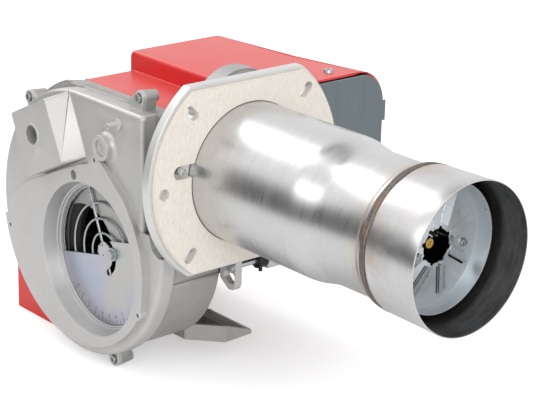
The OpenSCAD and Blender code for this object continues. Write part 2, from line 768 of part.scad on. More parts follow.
module diffuser_disc() color(zinc) forward(-diffuser_back) difference() {
    union() {
        rotate_extrude() polygon([[hole_r, 8], [hole_r, 9.2], [diffuser_r - 2, 1.2], [diffuser_r - 1.2, 1.2],
            [diffuser_r - 1.2, 18], [diffuser_r, 18], [diffuser_r, 0], [diffuser_r - 2, 0]]);
        for (i = [0:vane_count - 1]) rotate(i * 360 / vane_count + vane_turn) mirror([0, 1, 0]) vane();
    }
    for (i = [0:vane_count - 1]) rotate(i * 360 / vane_count + vane_turn) mirror([0, 1, 0])
        translate([20, 0.9, -4]) cube([30, 1.8, 30]);
    for (i = [0:vane_count - 1]) rotate(i * 360 / vane_count + scallop_turn)
        translate([hole_r, 0, 5]) cylinder(r = 2.2, h = 8);
    for (a = diffuser_screw_angles) rotate(a) translate([37, 0, -5]) cylinder(r = 2, h = 20);
}

diffuser_screw_angles = [-8, 124, 222];

// One louvre lip, raised over its slot
module vane() translate([19, -6, 7.4]) rotate([0, 10.5, 0]) rotate([24, 0, 0]) cube([32, 7.4, 1.2]);

module diffuser_screws() color(steel) forward(-diffuser_back) for (a = diffuser_screw_angles) rotate(a)
    translate([37, 0, 0]) {
        translate([0, 0, -39]) cylinder(r = 2, h = 45.2);
        translate([0, 0, 6.1]) pan_head(4, 2.4);
    }

// Clamp on the nozzle pipe that carries the electrodes and the diffuser's three legs
module electrode_clamp() color(zinc) forward(-207) difference() {
    linear_extrude(9) difference() {
        union() {
            circle(16);
            round_rect(-22, 8, 22, 32, 5);
            for (a = diffuser_screw_angles) rotate(a) round_rect(0, -5, 43, 5, 4);
        }
        circle(11);
    }
    for (p = electrodes) translate([p[0], p[1], -1]) cylinder(r = 5, h = 20);
    for (a = diffuser_screw_angles) rotate(a) translate([37, 0, -1]) cylinder(r = 2, h = 20);
}

module electrode_insulators() color([0.93, 0.9, 0.84]) forward(-160) for (p = electrodes) translate([p[0], p[1], 0])
    difference() {
        union() {
            cylinder(r = 5, h = 70);
            cylinder(r = 6, h = 12);
        }
        translate([0, 0, -1]) cylinder(r = 1.2, h = 80);
    }

module electrode_wires() color(steel) for (s = [-1, 1]) {
    bar([s * 15, -150, 24], [s * 15, -236, 24], 1.2);
    translate([s * 15, -236, 24]) sphere(1.35);
    bar([s * 15, -236, 24], [s * 8, -243, 14], 1.2);
    translate([s * 8, -243, 14]) sphere(1.35);
    bar([s * 8, -243, 14], [s * 2.5, -252, 8], 1.2);
}

// Threaded rod that moves the head; it turns in the chamber's rear wall
module head_screw() color(zinc) translate([rod_x, 0, rod_z]) {
    bar([0, 84, 0], [0, 178, 0], rod_r);
    translate([0, 160.4, 0]) rotate([-90, 0, 0]) cylinder(r = 7, h = 3);
    translate([0, 178, 0]) rotate([-90, 0, 0]) difference() {
        cylinder(r = 9, h = 8);
        for (a = [0:30:330]) rotate(a) translate([9.6, 0, -1]) cylinder(r = 1.4, h = 12, $fn = 16);
        translate([-10, -1, 6]) cube([20, 2, 4]);
    }
}

module photocell() color(black) translate([60, 150, 20]) rotate([-90, 0, 0]) {
    cylinder(r = 7.5, h = 12);
    translate([0, 0, 10.2]) cylinder(r = 11, h = 14);
    translate([0, 0, 24.2]) cylinder(r = 6, h = 6);
}

// Electrical pieces under the hood, on a plate with a gap for the pipe union
chassis_z = -24;

module union_gap() rect(70, 108, 95.5, 132);

module chassis_plate() color(zinc) {
    translate([0, 0, chassis_z]) linear_extrude(2) difference() {
        polygon([[85, 22], [174, 22], [172, 108], [164.5, 202], [80.2, 202], [80.2, 75.5], [85, 75.5]]);
        union_gap();
    }
    difference() {
        translate([80.2, 76, chassis_z]) cube([2, 80, 34]);
        translate([0, 0, chassis_z - 1]) linear_extrude(6) union_gap();
    }
}

module ignition_transformer() color([0.16, 0.16, 0.17]) {
    translate([104, 28, -22]) cube([66, 62, 62]);
    for (x = [120, 150]) translate([x, 28, 0]) rotate([90, 0, 0]) cylinder(r = 7, h = 6);
}

module control_base() color([0.2, 0.2, 0.2]) difference() {
    translate([86, 106, -22]) cube([72, 92, 16]);
    for (y = [116:12:188]) translate([157, y, -18]) cube([4, 6, 8]);
}

button_y = 150;
button_z = 20;

module control_box() color([0.16, 0.2, 0.3]) difference() {
    union() {
        translate([88, 108, -6]) cube([68, 88, 50]);
        translate([88, 108, 44 - e]) linear_extrude(6) rect(6, 6, 62, 82);
    }
    rightward(140) translate([button_y, button_z, 0]) cylinder(r = 4.3, h = 40);
}

module reset_button() color([0.8, 0.1, 0.08]) rightward(146) translate([button_y, button_z, 0]) {
    cylinder(r = 4, h = 16);
    translate([0, 0, 16]) cylinder(r = 9, h = 16);
    translate([0, 0, 32]) rotate_extrude() polygon([[0, 0], [9, 0], [8, 1.5], [5, 2.4], [0, 2.6]]);
}

// Seven-pole socket low on the front panel
module plug_socket() color(black) difference() {
    forward(34) linear_extrude(22) round_rect(112, -84, 176, -56, 3);
    forward(22) linear_extrude(20) round_rect(115, -81, 173, -59, 2);
}

// Cast foot on the housing's end wall: a pointed open trough with two ribs
foot_z = -210;
foot_plan = [[0, 152], [0, 96], [29, 64], [66, 66], [68, 71], [49, 105], [30, 152]];
foot_hollow = [[4, 148], [4, 98], [31, 68], [61, 70], [46, 103], [27, 148]];
foot_holes = [[116, -200], [138, -200]];

module support_foot() color(dark_cast) difference() {
    union() {
        difference() {
            translate([0, 0, foot_z]) linear_extrude(36) polygon(foot_plan);
            translate([0, 0, foot_z + 3]) linear_extrude(40) polygon(foot_hollow);
        }
        intersection() {
            translate([0, 0, foot_z]) linear_extrude(36) polygon(foot_plan);
            for (x = [17, 38]) translate([x, 60, foot_z]) cube([3, 88, 12]);
        }
    }
    translate([-10, 0, foot_z + 18]) cube([200, 300, 80]);
    translate([30, 64, foot_z + 18]) rotate([7.3, 22, 0]) translate([-50, -100, 0]) cube([150, 300, 80]);
    for (p = foot_holes) rightward(-2) translate([p[0], p[1], 0]) cylinder(r = 3, h = 12);
}

module foot_screws() color(zinc) for (p = foot_holes) rightward(-6) translate([p[0], p[1], 0]) {
    cylinder(r = 3, h = 10);
    translate([0, 0, 10]) hex_head(5, 4);
}

// Hood: a raised block over the electrical side, a lower shelf, and a rear wall that bulges round the fan
module hood_block2d(t) difference() {
    rect(hood_front - 1, -far, hood_back - t, hood_top - t);
    translate([hood_back - 5, hood_top - 5]) difference() {
        rect(0, 0, 20, 20);
        circle(5 - t);
    }
}

// Block's right side: two straight runs, each turned a little about the vertical, with a rounded top edge
module hood_run(t, from, to, low, high) {
    d = to - from;
    intersection() {
        translate([from[0], from[1], 0]) rotate(atan2(-d[0], d[1])) translate([0, -80, 0]) backward(0)
            linear_extrude(far) difference() {
                rect(-far, -far, -t, hood_top - t);
                translate([-hood_corner, hood_top - hood_corner]) difference() {
                    rect(0, 0, 100, 100);
                    circle(hood_corner - t);
                }
            }
        translate([-far, low, -far]) cube([2 * far, high - low, 2 * far]);
    }
}

module hood_rear2d(t) {
    rect(76, -far, 215, hood_shelf - t);
    hull() {
        translate([215, hood_shelf - 6]) circle(6 - t);
        translate([262, -108]) circle(68 - t);
        rect(180, -130, 200, 0);
    }
    rect(180, -far, hood_rear - t, -108);
}

module hood_front2d(left, top, t) difference() {
    rect(left + t, -far, hood_right - t, top - t);
    translate([hood_right - hood_corner, hood_top - hood_corner]) difference() {
        rect(0, 0, 100, 100);
        circle(hood_corner - t);
    }
    translate([left + 5, top - 5]) difference() {
        rect(-20, 0, 0, 20);
        circle(5 - t);
    }
}

// Plan outline: the right side leans in towards the back
module hood_plan2d(t) polygon(concat([[-far, -far], [hood_right - t, -far]],
    [for (p = hood_side) [p[0] - t, p[1]]], [[hood_side[2][0] - t, far], [-far, far]]));

module hood_solid(t) {
    intersection() {
        rightward(hood_left) linear_extrude(300) hood_block2d(t);
        backward(0) linear_extrude(far) difference() {
            rect(hood_step + t, -far, far, hood_top);
            translate([hood_step + 5, hood_top - 5]) difference() {
                rect(-20, 0, 0, 20);
                circle(5 - t);
            }
        }
        union() {
            hood_run(t, hood_side[0], hood_side[1], 0, hood_side[1][1]);
            hood_run(t, hood_side[1], hood_side[2], hood_side[1][1], far);
        }
    }
    intersection() {
        rightward(hood_left) linear_extrude(300) hood_rear2d(t);
        backward(0) linear_extrude(far) hood_front2d(hood_left, hood_shelf, t);
        translate([0, 0, -far]) linear_extrude(2 * far) hood_plan2d(t);
    }
}

module hood() color(red) difference() {
    hood_solid(0);
    hood_solid(hood_wall);
    rightward(-100) linear_extrude(400) polygon([[-far, -far], [-far, -165], [215, -165], [262, hood_low],
        [far, hood_low], [far, -far]]);
    forward(76) cylinder(r = collar_r + 2.5, h = 100);
    rightward(-100) linear_extrude(52) cast2d(body_r + 1.5, body_top + 0.5, -100);
    rightward(-50) linear_extrude(50.4) cast2d(body_r + 0.4, body_top + 0.4, -100);
    forward(72) translate([bulge_at[0], bulge_at[1], 0]) cylinder(r = bulge_r + 0.5, h = 100);
    translate([-100, -10, -60]) cube([hood_shelf_left + 100, far, far]);
    translate([-100, -10, -far]) cube([160, 86, far]);
    rightward(150) translate([button_y, button_z, 0]) cylinder(r = 10.5, h = 60);
    translate([133, 35, 0]) cylinder(r = 2.5, h = 100);
}

module panel2d() difference() {
    rect(60, -95, 193.5, 66.5);
    circle(97);
    translate([193.5 - 33, 66.5 - 33]) difference() {
        rect(0, 0, 60, 60);
        circle(33);
    }
    round_rect(111.9, -84.1, 176.1, -55.9, 3.1);
}

module front_panel() color([0.42, 0.46, 0.48]) difference() {
    union() {
        forward(17.3) linear_extrude(panel_t) panel2d();
        translate([98, 17.3 - e, 65]) cube([52, 24, 1.3]);
        translate([193.4, 15.8, 13]) cube([4, panel_t, 22]);
    }
    translate([133, 35, 60]) cylinder(r = 2.5, h = 10);
}

module hood_screws() color(zinc) {
    translate([133, 35, hood_top]) pan_head(5, 3);
    translate([133, 35, 58]) cylinder(r = 2.5, h = hood_top - 58 + e);
}

flange_plate();
flange_gasket();
clamp_collar();
clamp_bolt();
clamp_nuts();
intake_cover();
fan_housing();
cover_bolts();
inspection_plug();
pressure_nipple();
wire_guard();
air_guide_plate();
damper_plate();
damper_screw();
inlet_cone();
fan_wheel();
motor_shaft();
motor_rotor();
motor_stator();
motor_casing();
motor_end_cap();
motor_bearings();
motor_screws();
run_capacitor();
pump_coupling();
pump_bracket();
oil_pump();
solenoid_coil();
oil_pipe();
pipe_union();
blast_tube();
weld_seam();
mouth_cup();
flange_screws();
nozzle_pipe();
head_bracket();
nozzle_holder();
nozzle();
diffuser_disc();
diffuser_screws();
electrode_clamp();
electrode_insulators();
electrode_wires();
head_screw();
photocell();
chassis_plate();
ignition_transformer();
control_base();
control_box();
reset_button();
plug_socket();
support_foot();
foot_screws();
hood();
front_panel();
hood_screws();
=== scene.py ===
import json
import math

import bmesh
import bpy
from bpy.props import FloatProperty, FloatVectorProperty, IntProperty, PointerProperty
from mathutils import Matrix, Vector

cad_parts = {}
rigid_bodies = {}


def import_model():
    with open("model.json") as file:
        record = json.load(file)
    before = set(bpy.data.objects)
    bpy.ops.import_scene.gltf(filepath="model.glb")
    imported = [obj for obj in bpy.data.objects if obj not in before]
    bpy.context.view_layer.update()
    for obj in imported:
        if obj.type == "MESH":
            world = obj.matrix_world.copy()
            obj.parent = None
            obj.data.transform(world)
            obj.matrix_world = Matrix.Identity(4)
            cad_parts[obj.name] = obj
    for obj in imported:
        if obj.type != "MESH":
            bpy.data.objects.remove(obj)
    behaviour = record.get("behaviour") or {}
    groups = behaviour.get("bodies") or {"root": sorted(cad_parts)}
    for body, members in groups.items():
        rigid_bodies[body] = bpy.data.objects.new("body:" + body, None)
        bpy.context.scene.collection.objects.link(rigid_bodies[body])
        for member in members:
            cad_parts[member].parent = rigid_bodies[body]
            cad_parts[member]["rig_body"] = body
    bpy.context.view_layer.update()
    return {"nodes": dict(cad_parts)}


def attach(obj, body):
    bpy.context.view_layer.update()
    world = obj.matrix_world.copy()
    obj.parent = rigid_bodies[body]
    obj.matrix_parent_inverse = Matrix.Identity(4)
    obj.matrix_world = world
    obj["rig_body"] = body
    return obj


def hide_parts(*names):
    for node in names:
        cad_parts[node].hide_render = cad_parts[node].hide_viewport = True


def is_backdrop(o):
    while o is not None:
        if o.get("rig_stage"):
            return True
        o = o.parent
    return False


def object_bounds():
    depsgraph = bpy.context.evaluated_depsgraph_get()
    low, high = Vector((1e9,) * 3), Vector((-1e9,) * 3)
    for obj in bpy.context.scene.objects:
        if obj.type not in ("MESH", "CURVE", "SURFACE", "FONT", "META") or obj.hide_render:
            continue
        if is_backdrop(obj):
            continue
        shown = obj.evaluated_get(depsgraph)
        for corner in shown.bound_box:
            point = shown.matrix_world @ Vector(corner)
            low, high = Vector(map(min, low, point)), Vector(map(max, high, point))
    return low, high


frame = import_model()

bl_info = {
    "name": "Oil Burner",
    "version": (1, 0, 0),
    "blender": (4, 5, 0),
    "location": "View3D > Sidebar > Burner",
    "description": "Dresses the burner's solids with castings, sheet metal, fasteners and their finishes",
    "category": "Object",
}

MM = 0.001
NODE_SPACING = 200
WHITE = (1.0, 1.0, 1.0)

# The rounding that the edge wear and the painted edge highlight look for round an edge, in metres
EDGE_REACH = 0.0012

# Merging a CAD node's triangles: joined corners and slivers in metres, flat seams in degrees
MERGE_DISTANCE = 2e-6
SLIVER = 1e-6
FLAT_SEAM = 0.1

# Shapes turned round the tube's axis: steps of a full turn, and the distance that closes the seam
SPIN_STEPS = 144
SEAM_DISTANCE = 1e-7

# Rounding edges: least fold in degrees, share of the room that a rounding may take, smallest share worth
# rounding, least sine that counts as leaving the edge, cosine above which two edges are too close together
HARD_EDGE = 26.0
ROOM_SHARE = 0.4
LEAST_SHARE = 0.12
LEAVES_EDGE = 0.3
ACUTE = 0.6

# Places along Y of the tube's, the weld's and the mouth's sections, in metres
TUBE_BACK, TUBE_STRAIGHT = 0.054, -0.131
STEP_START, STEP_LENGTH, STEP_FACETS = -0.132, 0.039, 16
# How far the neck's end flares over its radius in mm, and where
NECK_FLARE = ((0.0, -0.2205), (0.4, -0.2217), (2.2, -0.2247), (2.6, -0.2262), (2.8, -0.229))
# Each bead's centre over the neck's radius in mm, its place, its radius in mm and the shift of its ripples
WELD_BEADS = ((2.6, -0.2312, 2.1, 0.0), (3.4, -0.2342, 1.75, 0.5))
BEAD_SIDES, STEPS_A_RIPPLE = 14, 4
WELD_FRONT, WELD_BACK = -0.236, -0.229
CUP_START, CUP_BEND, LIP_START, LIP_END, MOUTH_FRONT = -0.236, -0.283, -0.2962, -0.2968, -0.297

# The damper's axis on its outer face, its scale's radius in metres and the scale's angles in degrees
DAMPER_CENTRE = Vector((-0.0644, 0.150, -0.118))
SCALE_RADIUS = 0.0718
SCALE_START, TICK_STEP, TICKS, FIGURES = -41.0, -5.3, 17, 8


def linear(red, green, blue):
    """A colour seen in a picture, 0 to 255, as scene linear values."""
    return tuple(((c / 255 + 0.055) / 1.055) ** 2.4 if c > 10 else c / 255 / 12.92 for c in (red, green, blue))


# Settings

def colour_setting(label, description, default):
    return FloatVectorProperty(name=label, description=description, subtype="COLOR", size=3, min=0.0, max=1.0,
                               default=default)


def length_setting(label, description, default, low=0.0, high=0.5):
    return FloatProperty(name=label, description=description, default=default, min=low, max=high, precision=5,
                         subtype="DISTANCE", unit="LENGTH")


class BurnerSizes(bpy.types.PropertyGroup):
    casting_edge: length_setting("Casting edge", "Rounding of the machined and cast edges", 0.5 * MM)
    plate_edge: length_setting("Plate edge", "Rounding of the flange plate's and collar's edges", 0.7 * MM)
    sheet_edge: length_setting("Sheet edge", "Rounding of folded sheet edges", 1.1 * MM)
    screw_edge: length_setting("Screw edge", "Rounding of bolt heads, nuts and screws", 0.3 * MM)
    tube_radius: length_setting("Tube radius", "Outside radius of the blast tube", 70 * MM)
    tube_wall: length_setting("Tube wall", "Sheet thickness of the blast tube", 1.5 * MM)
    neck_radius: length_setting("Neck radius", "Outside radius of the tube's narrow end", 64.5 * MM)
    mouth_radius: length_setting("Mouth radius", "Outside radius of the mouth's rim", 71 * MM)
    tick_length: length_setting("Tick length", "Length of a mark of the damper's scale", 4.2 * MM)
    tick_width: length_setting("Tick width", "Width of a mark of the damper's scale", 0.7 * MM)
    digit_height: length_setting("Digit height", "Height of the damper scale's figures", 4.2 * MM)
    ripples: IntProperty(name="Weld ripples", description="Ripples round the weld seam", default=118, min=8,
                         max=400)


class BurnerFinish(bpy.types.PropertyGroup):
    cast_light: colour_setting("Cover casting", "Blasted aluminium of the cover", linear(198, 197, 196))
    cast_dark: colour_setting("Scroll casting", "Sand cast aluminium of the scroll", linear(180, 178, 176))
    plate: colour_setting("Flange plate", "Machined aluminium of the flange", linear(216, 216, 215))
    enamel: colour_setting("Hood enamel", "Red enamel of the hood", linear(212, 30, 28))
    sheet: colour_setting("Panel sheet", "Grey sheet of the front panel", linear(118, 128, 132))
    gasket: colour_setting("Gasket", "Cream fibre board of the gasket", linear(228, 222, 212))
    tube: colour_setting("Tube steel", "Stainless sheet of the blast tube", linear(214, 214, 215))
    soot: colour_setting("Soot", "Burnt lining of the mouth", linear(70, 67, 65))
    zinc: colour_setting("Zinc", "Blue zinc plate of screws and head plates", linear(188, 196, 202))
    damper: colour_setting("Damper plate", "Iridescent zinc of the damper", linear(190, 198, 206))
    # Near black: the wheel's and cone's own colour, and also painted shade deep inside the intake.
    black: colour_setting("Black metal", "Black finish of fan wheel and inlet cone", linear(26, 26, 27))


class BurnerStage(bpy.types.PropertyGroup):
    azimuth: FloatProperty(name="Azimuth", description="Camera's turn from the tube's axis", unit="ROTATION",
                           default=math.radians(40.51))
    elevation: FloatProperty(name="Elevation", description="Camera's height angle", unit="ROTATION",
                             default=math.radians(20.10))
    roll: FloatProperty(name="Roll", description="Camera's roll", unit="ROTATION", default=math.radians(1.36))
    distance: length_setting("Distance", "Camera's distance from the origin along its view", 1.79592, high=10.0)
    aside: length_setting("Aside", "Camera's step to its right", 0.00483)
    lift: length_setting("Lift", "Camera's step up", -0.05649, low=-1.0)
    lens: FloatProperty(name="Lens", description="Focal length", default=125.45, min=20, max=300)
    shift_x: FloatProperty(name="Shift across", description="Camera's shift to its right", default=0.0264)
    shift_y: FloatProperty(name="Shift up", description="Camera's shift up", default=0.0558)
    floor_size: length_setting("Floor", "Side of the floor", 60.0, high=200.0)
    light: FloatProperty(name="Light", description="Level of the soft light", default=0.86, min=0.0, max=2.0)


# Node helpers

class Tree:
    """Places nodes from left to right in a node tree and links them."""

    def __init__(self, tree):
        self.tree = tree
        self.count = 0

    def plug(self, socket, value):
        """Feeds a socket from another one, or with a constant; a colour may leave out its alpha."""
        if isinstance(value, bpy.types.NodeSocket):
            self.tree.links.new(value, socket)
        elif socket.type == "RGBA" and len(value) == 3:
            socket.default_value = (*value, 1.0)
        else:
            socket.default_value = value

    def add(self, kind, values=None, **settings):
        node = self.tree.nodes.new(kind)
        node.location = (NODE_SPACING * self.count, 0)
        self.count += 1
        for key, value in settings.items():
            setattr(node, key, value)
        for key, value in (values or {}).items():
            self.plug(node.inputs[key], value)
        return node

    def maths(self, operation, first, second=0.0, third=0.0):
        return self.add("ShaderNodeMath", {0: first, 1: second, 2: third}, operation=operation).outputs[0]

    def noise(self, vector, scale, detail, roughness):
        values = {"Vector": vector, "Scale": scale, "Detail": detail, "Roughness": roughness}
        return self.add("ShaderNodeTexNoise", values).outputs["Fac"]

    def spread(self, value, low, high, to_low=0.0, to_high=1.0):
        values = {"Value": value, "From Min": low, "From Max": high, "To Min": to_low, "To Max": to_high}
        return self.add("ShaderNodeMapRange", values, clamp=True).outputs["Result"]

    def mix(self, factor, first, second, blend="MIX"):
        values = {0: factor, 6: first, 7: second}
        return self.add("ShaderNodeMix", values, data_type="RGBA", blend_type=blend).outputs[2]

    def split(self, vector):
        return self.add("ShaderNodeSeparateXYZ", {0: vector}).outputs

    def join(self, x, y, z):
        return self.add("ShaderNodeCombineXYZ", {0: x, 1: y, 2: z}).outputs[0]

    def ramp(self, factor, stops):
        """A colour ramp with a stop at 0, one at 1 and others between them."""
        node = self.add("ShaderNodeValToRGB", {"Fac": factor})
        elements = node.color_ramp.elements
        for at, shade in stops:
            stop = {0.0: elements[0], 1.0: elements[-1]}.get(at) or elements.new(at)
            stop.color = (*linear(*shade), 1.0)
        return node.outputs["Color"]


def blank_tree(holder):
    """The emptied node tree of a material or world."""
    holder.use_nodes = True
    holder.node_tree.nodes.clear()
    return Tree(holder.node_tree)


def new_group(name, inputs, outputs):
    """An empty shader group with its sockets; returns its builder, its input node and a finishing function."""
    made = bpy.data.node_groups.new(name, "ShaderNodeTree")
    made.interface.new_socket("Vector", in_out="INPUT", socket_type="NodeSocketVector")
    for label, default in inputs:
        made.interface.new_socket(label, in_out="INPUT", socket_type="NodeSocketFloat").default_value = default
    for label in outputs:
        made.interface.new_socket(label, in_out="OUTPUT", socket_type="NodeSocketFloat")
    tree = Tree(made)
    source = tree.add("NodeGroupInput")

    def close(**results):
        tree.add("NodeGroupOutput", results)
        return made

    return tree, source.outputs, close


def grain_group():
    """Cast or blasted grain: a height and a tone, both from Object coordinates."""
    tree, source, close = new_group("Casting grain", [("Grain", 900.0), ("Blotch", 30.0)], ["Height", "Tone"])
    fine = tree.noise(source["Vector"], source["Grain"], 4.0, 0.65)
    values = {"Vector": source["Vector"], "Scale": source["Grain"]}
    pits = tree.add("ShaderNodeTexVoronoi", values, feature="SMOOTH_F1")
    blotch = tree.noise(source["Vector"], source["Blotch"], 5.0, 0.6)
    height = tree.maths("MULTIPLY_ADD", pits.outputs["Distance"], 0.45, fine)
    speckle = tree.spread(fine, 0.32, 0.68)
    cloud = tree.maths("MULTIPLY", tree.spread(blotch, 0.3, 0.7), 0.65)
    return close(Height=height, Tone=tree.maths("MULTIPLY_ADD", speckle, 0.35, cloud))


def edge_group():
    """Where an edge stands proud the rounded normal leaves the face's own one there; callers tint this mask for
    rubbed wear and, where they lighten it, for a painted edge highlight.
    """
    tree, source, close = new_group("Edge wear and highlight", [("Reach", EDGE_REACH), ("Break up", 0.4)], ["Mask"])
    geometry = tree.add("ShaderNodeNewGeometry").outputs
    rounded = tree.add("ShaderNodeBevel", {"Radius": source["Reach"]}, samples=6).outputs["Normal"]
    turn = tree.add("ShaderNodeVectorMath", {0: rounded, 1: geometry["Normal"]}, operation="DOT_PRODUCT")
    near = tree.spread(turn.outputs["Value"], 0.99, 0.86)
    proud = tree.spread(geometry["Pointiness"], 0.495, 0.515)
    patch = tree.spread(tree.noise(source["Vector"], 160.0, 4.0, 0.6), 0.35, 0.62)
    kept = tree.maths("SUBTRACT", 1.0, tree.maths("MULTIPLY", source["Break up"], patch))
    return close(Mask=tree.maths("MULTIPLY", tree.maths("MULTIPLY", near, proud), kept))


def turned_group():
    """Fine lines that run round an axis along Y, as on a rolled or turned tube."""
    tree, source, close = new_group("Turned lines", [("Lines", 2600.0)], ["Height", "Tone"])
    parts = tree.split(source["Vector"])
    angle = tree.maths("ARCTAN2", parts["X"], parts["Z"])
    along = tree.maths("MULTIPLY", parts["Y"], source["Lines"])
    sine, cosine = tree.maths("SINE", angle), tree.maths("COSINE", angle)
    ring = tree.join(tree.maths("MULTIPLY", sine, 2.2), along, tree.maths("MULTIPLY", cosine, 2.2))
    lines = tree.noise(ring, 1.0, 3.0, 0.7)
    slow = tree.join(sine, tree.maths("MULTIPLY", along, 0.04), cosine)
    bands = tree.maths("MULTIPLY", tree.spread(tree.noise(slow, 2.0, 3.0, 0.6), 0.3, 0.7), 0.45)
    return close(Height=lines, Tone=tree.maths("MULTIPLY_ADD", tree.spread(lines, 0.3, 0.7), 0.55, bands))


def streak_group():
    """Straight drawn lines along the given vector's third axis."""
    tree, source, close = new_group("Drawn streaks", [("Lines", 1500.0), ("Run", 12.0)], ["Height", "Tone"])
    parts = tree.split(source["Vector"])
    across = tree.maths("MULTIPLY", parts["X"], source["Lines"])
    depth = tree.maths("MULTIPLY", parts["Y"], source["Lines"])
    lines = tree.noise(tree.join(across, depth, tree.maths("MULTIPLY", parts["Z"], source["Run"])), 1.0, 3.0, 0.65)
    return close(Height=lines, Tone=tree.spread(lines, 0.3, 0.7))


def dust_group():
    """Fine dust that has settled on faces that look up, in drifts."""
    tree, source, close = new_group("Settled dust", [("Drift", 18.0)], ["Mask"])
    up = tree.split(tree.add("ShaderNodeNewGeometry").outputs["Normal"])["Z"]
    facing = tree.spread(up, 0.35, 0.95)
    drift = tree.spread(tree.noise(source["Vector"], source["Drift"], 5.0, 0.65), 0.42, 0.72)
    return close(Mask=tree.maths("MULTIPLY", facing, drift))


GROUP_MAKERS = {"grain": grain_group, "edge": edge_group, "turned": turned_group, "streak": streak_group,
                "dust": dust_group}
GROUPS = {}


def group(name):
    """The shared shader group of that name, made on first use."""
    if name not in GROUPS:
        GROUPS[name] = GROUP_MAKERS[name]()
    return GROUPS[name]


class Finish:
    """One material in the making: its coordinates, its shader, and the colour and height built up so far."""

    def __init__(self, name, colour, metallic, roughness, round_edges=0.0, **shader_values):
        self.material = bpy.data.materials.new(name)
        self.material.diffuse_color = (*colour, 1.0)
        self.tree = blank_tree(self.material)
        self.place = self.tree.add("ShaderNodeTexCoord").outputs["Object"]
        self.colour = tuple(colour)
        self.rough = roughness
        self.bump = None
        self.metallic = metallic
        self.round_edges = round_edges
        self.shader_values = shader_values

    def shared(self, name, **values):
        """The outputs of a shared group that is fed with the finish's own coordinates."""
        return self.tree.add("ShaderNodeGroup", {"Vector": self.place, **values}, node_tree=group(name)).outputs

    def patches(self, scale, detail, roughness, low, high):
        """Soft patches of 0 to 1."""
        return self.tree.spread(self.tree.noise(self.place, scale, detail, roughness), low, high)

    def tint(self, factor, colour, share=1.0):
        if share != 1.0:
            factor = self.tree.maths("MULTIPLY", factor, share)
        self.colour = self.tree.mix(factor, self.colour, colour)

    def wear(self, break_up, share, colour):
        """Tints proud edges towards a colour: rubbed wear, and where the colour is lighter also a painted edge
        highlight.
        """
        self.tint(self.shared("edge", Reach=EDGE_REACH, **{"Break up": break_up})["Mask"], colour, share)

    def dust(self, drift, share, colour):
        self.tint(self.shared("dust", Drift=drift)["Mask"], colour, share)

    def tone(self, value, darkest, lightest=1.0):
        """Multiplies the colour by a grey that runs from darkest to lightest with value."""
        grey = self.tree.spread(value, 0.0, 1.0, darkest, lightest)
        self.colour = self.tree.mix(1.0, self.colour, self.tree.join(grey, grey, grey), "MULTIPLY")

    def roughen(self, value, low, high):
        self.rough = self.tree.spread(value, 0.0, 1.0, low, high)

    def relief(self, height, depth, strength=1.0):
        self.bump = {"Height": height, "Distance": depth, "Strength": strength}

    def done(self):
        values = {"Base Color": self.colour, "Metallic": self.metallic, "Roughness": self.rough,
                  **self.shader_values}
        rounded = {}
        if self.round_edges:
            bevel = self.tree.add("ShaderNodeBevel", {"Radius": self.round_edges}, samples=4)
            rounded["Normal"] = bevel.outputs["Normal"]
        if self.bump:
            rounded["Normal"] = self.tree.add("ShaderNodeBump", {**self.bump, **rounded}).outputs["Normal"]
        shader = self.tree.add("ShaderNodeBsdfPrincipled", {**values, **rounded})
        self.tree.add("ShaderNodeOutputMaterial", {"Surface": shader.outputs[0]})
        return self.material


# Finishes

def cast_finish(name, colour, grain, depth, roughness, edge_colour, edge_share, darkest, round_edges=0.0):
    finish = Finish(name, colour, 0.55, 0.4, round_edges)
    grains = finish.shared("grain", Grain=grain, Blotch=26.0)
    finish.tone(grains["Tone"], darkest, 1.06)
    # Near-white tint on proud edges: partly rubbed casting, partly a painted edge highlight.
    finish.wear(0.35, edge_share, edge_colour)
    finish.dust(14.0, 0.12, linear(196, 190, 182))
    finish.roughen(grains["Tone"], roughness - 0.07, roughness + 0.08)
    finish.relief(grains["Height"], depth)
    return finish.done()


def streaked_finish(name, colour, metallic, roughness, lines, run, darkest=0.9, depth=0.00001, round_edges=0.0,
                    edge_colour=None, dusty=0.0):
    finish = Finish(name, colour, metallic, roughness, round_edges)
    streak = finish.shared("streak", Lines=lines, Run=run)
    finish.tone(streak["Tone"], darkest)
    smudge = finish.patches(34.0, 5.0, 0.6, 0.3, 0.7)
    finish.tone(smudge, 0.93)
    # Lighter proud edges: partly rubbed sheet, partly a painted edge highlight.
    if edge_colour:
        finish.wear(0.4, 0.7, edge_colour)
    if dusty:
        finish.dust(16.0, dusty, linear(200, 192, 184))
    finish.roughen(smudge, roughness - 0.05, roughness + 0.08)
    finish.relief(streak["Height"], depth)
    return finish.done()


def enamel_finish(name, colour):
    coat_values = {"Coat Weight": 0.25, "Coat Roughness": 0.25, "Specular IOR Level": 0.5}
    finish = Finish(name, colour, 0.0, 0.36, **coat_values)
    tree = finish.tree
    peel = tree.noise(finish.place, 420.0, 2.0, 0.5)
    cloud = finish.patches(9.0, 4.0, 0.55, 0.3, 0.7)
    finish.tone(cloud, 0.95, 1.03)
    # Painted light: faces that look up are tinted paler pink-red, as if lit from above.
    up = tree.split(tree.add("ShaderNodeNewGeometry").outputs["Normal"])["Z"]
    finish.tint(tree.spread(up, 0.2, 0.95), linear(240, 140, 132), 0.16)
    # Paler red on proud edges: partly rubbed enamel, partly a painted edge highlight.
    finish.wear(0.7, 0.35, linear(240, 120, 110))
    finish.roughen(cloud, 0.32, 0.44)
    finish.relief(peel, 0.00004, 0.5)
    return finish.done()


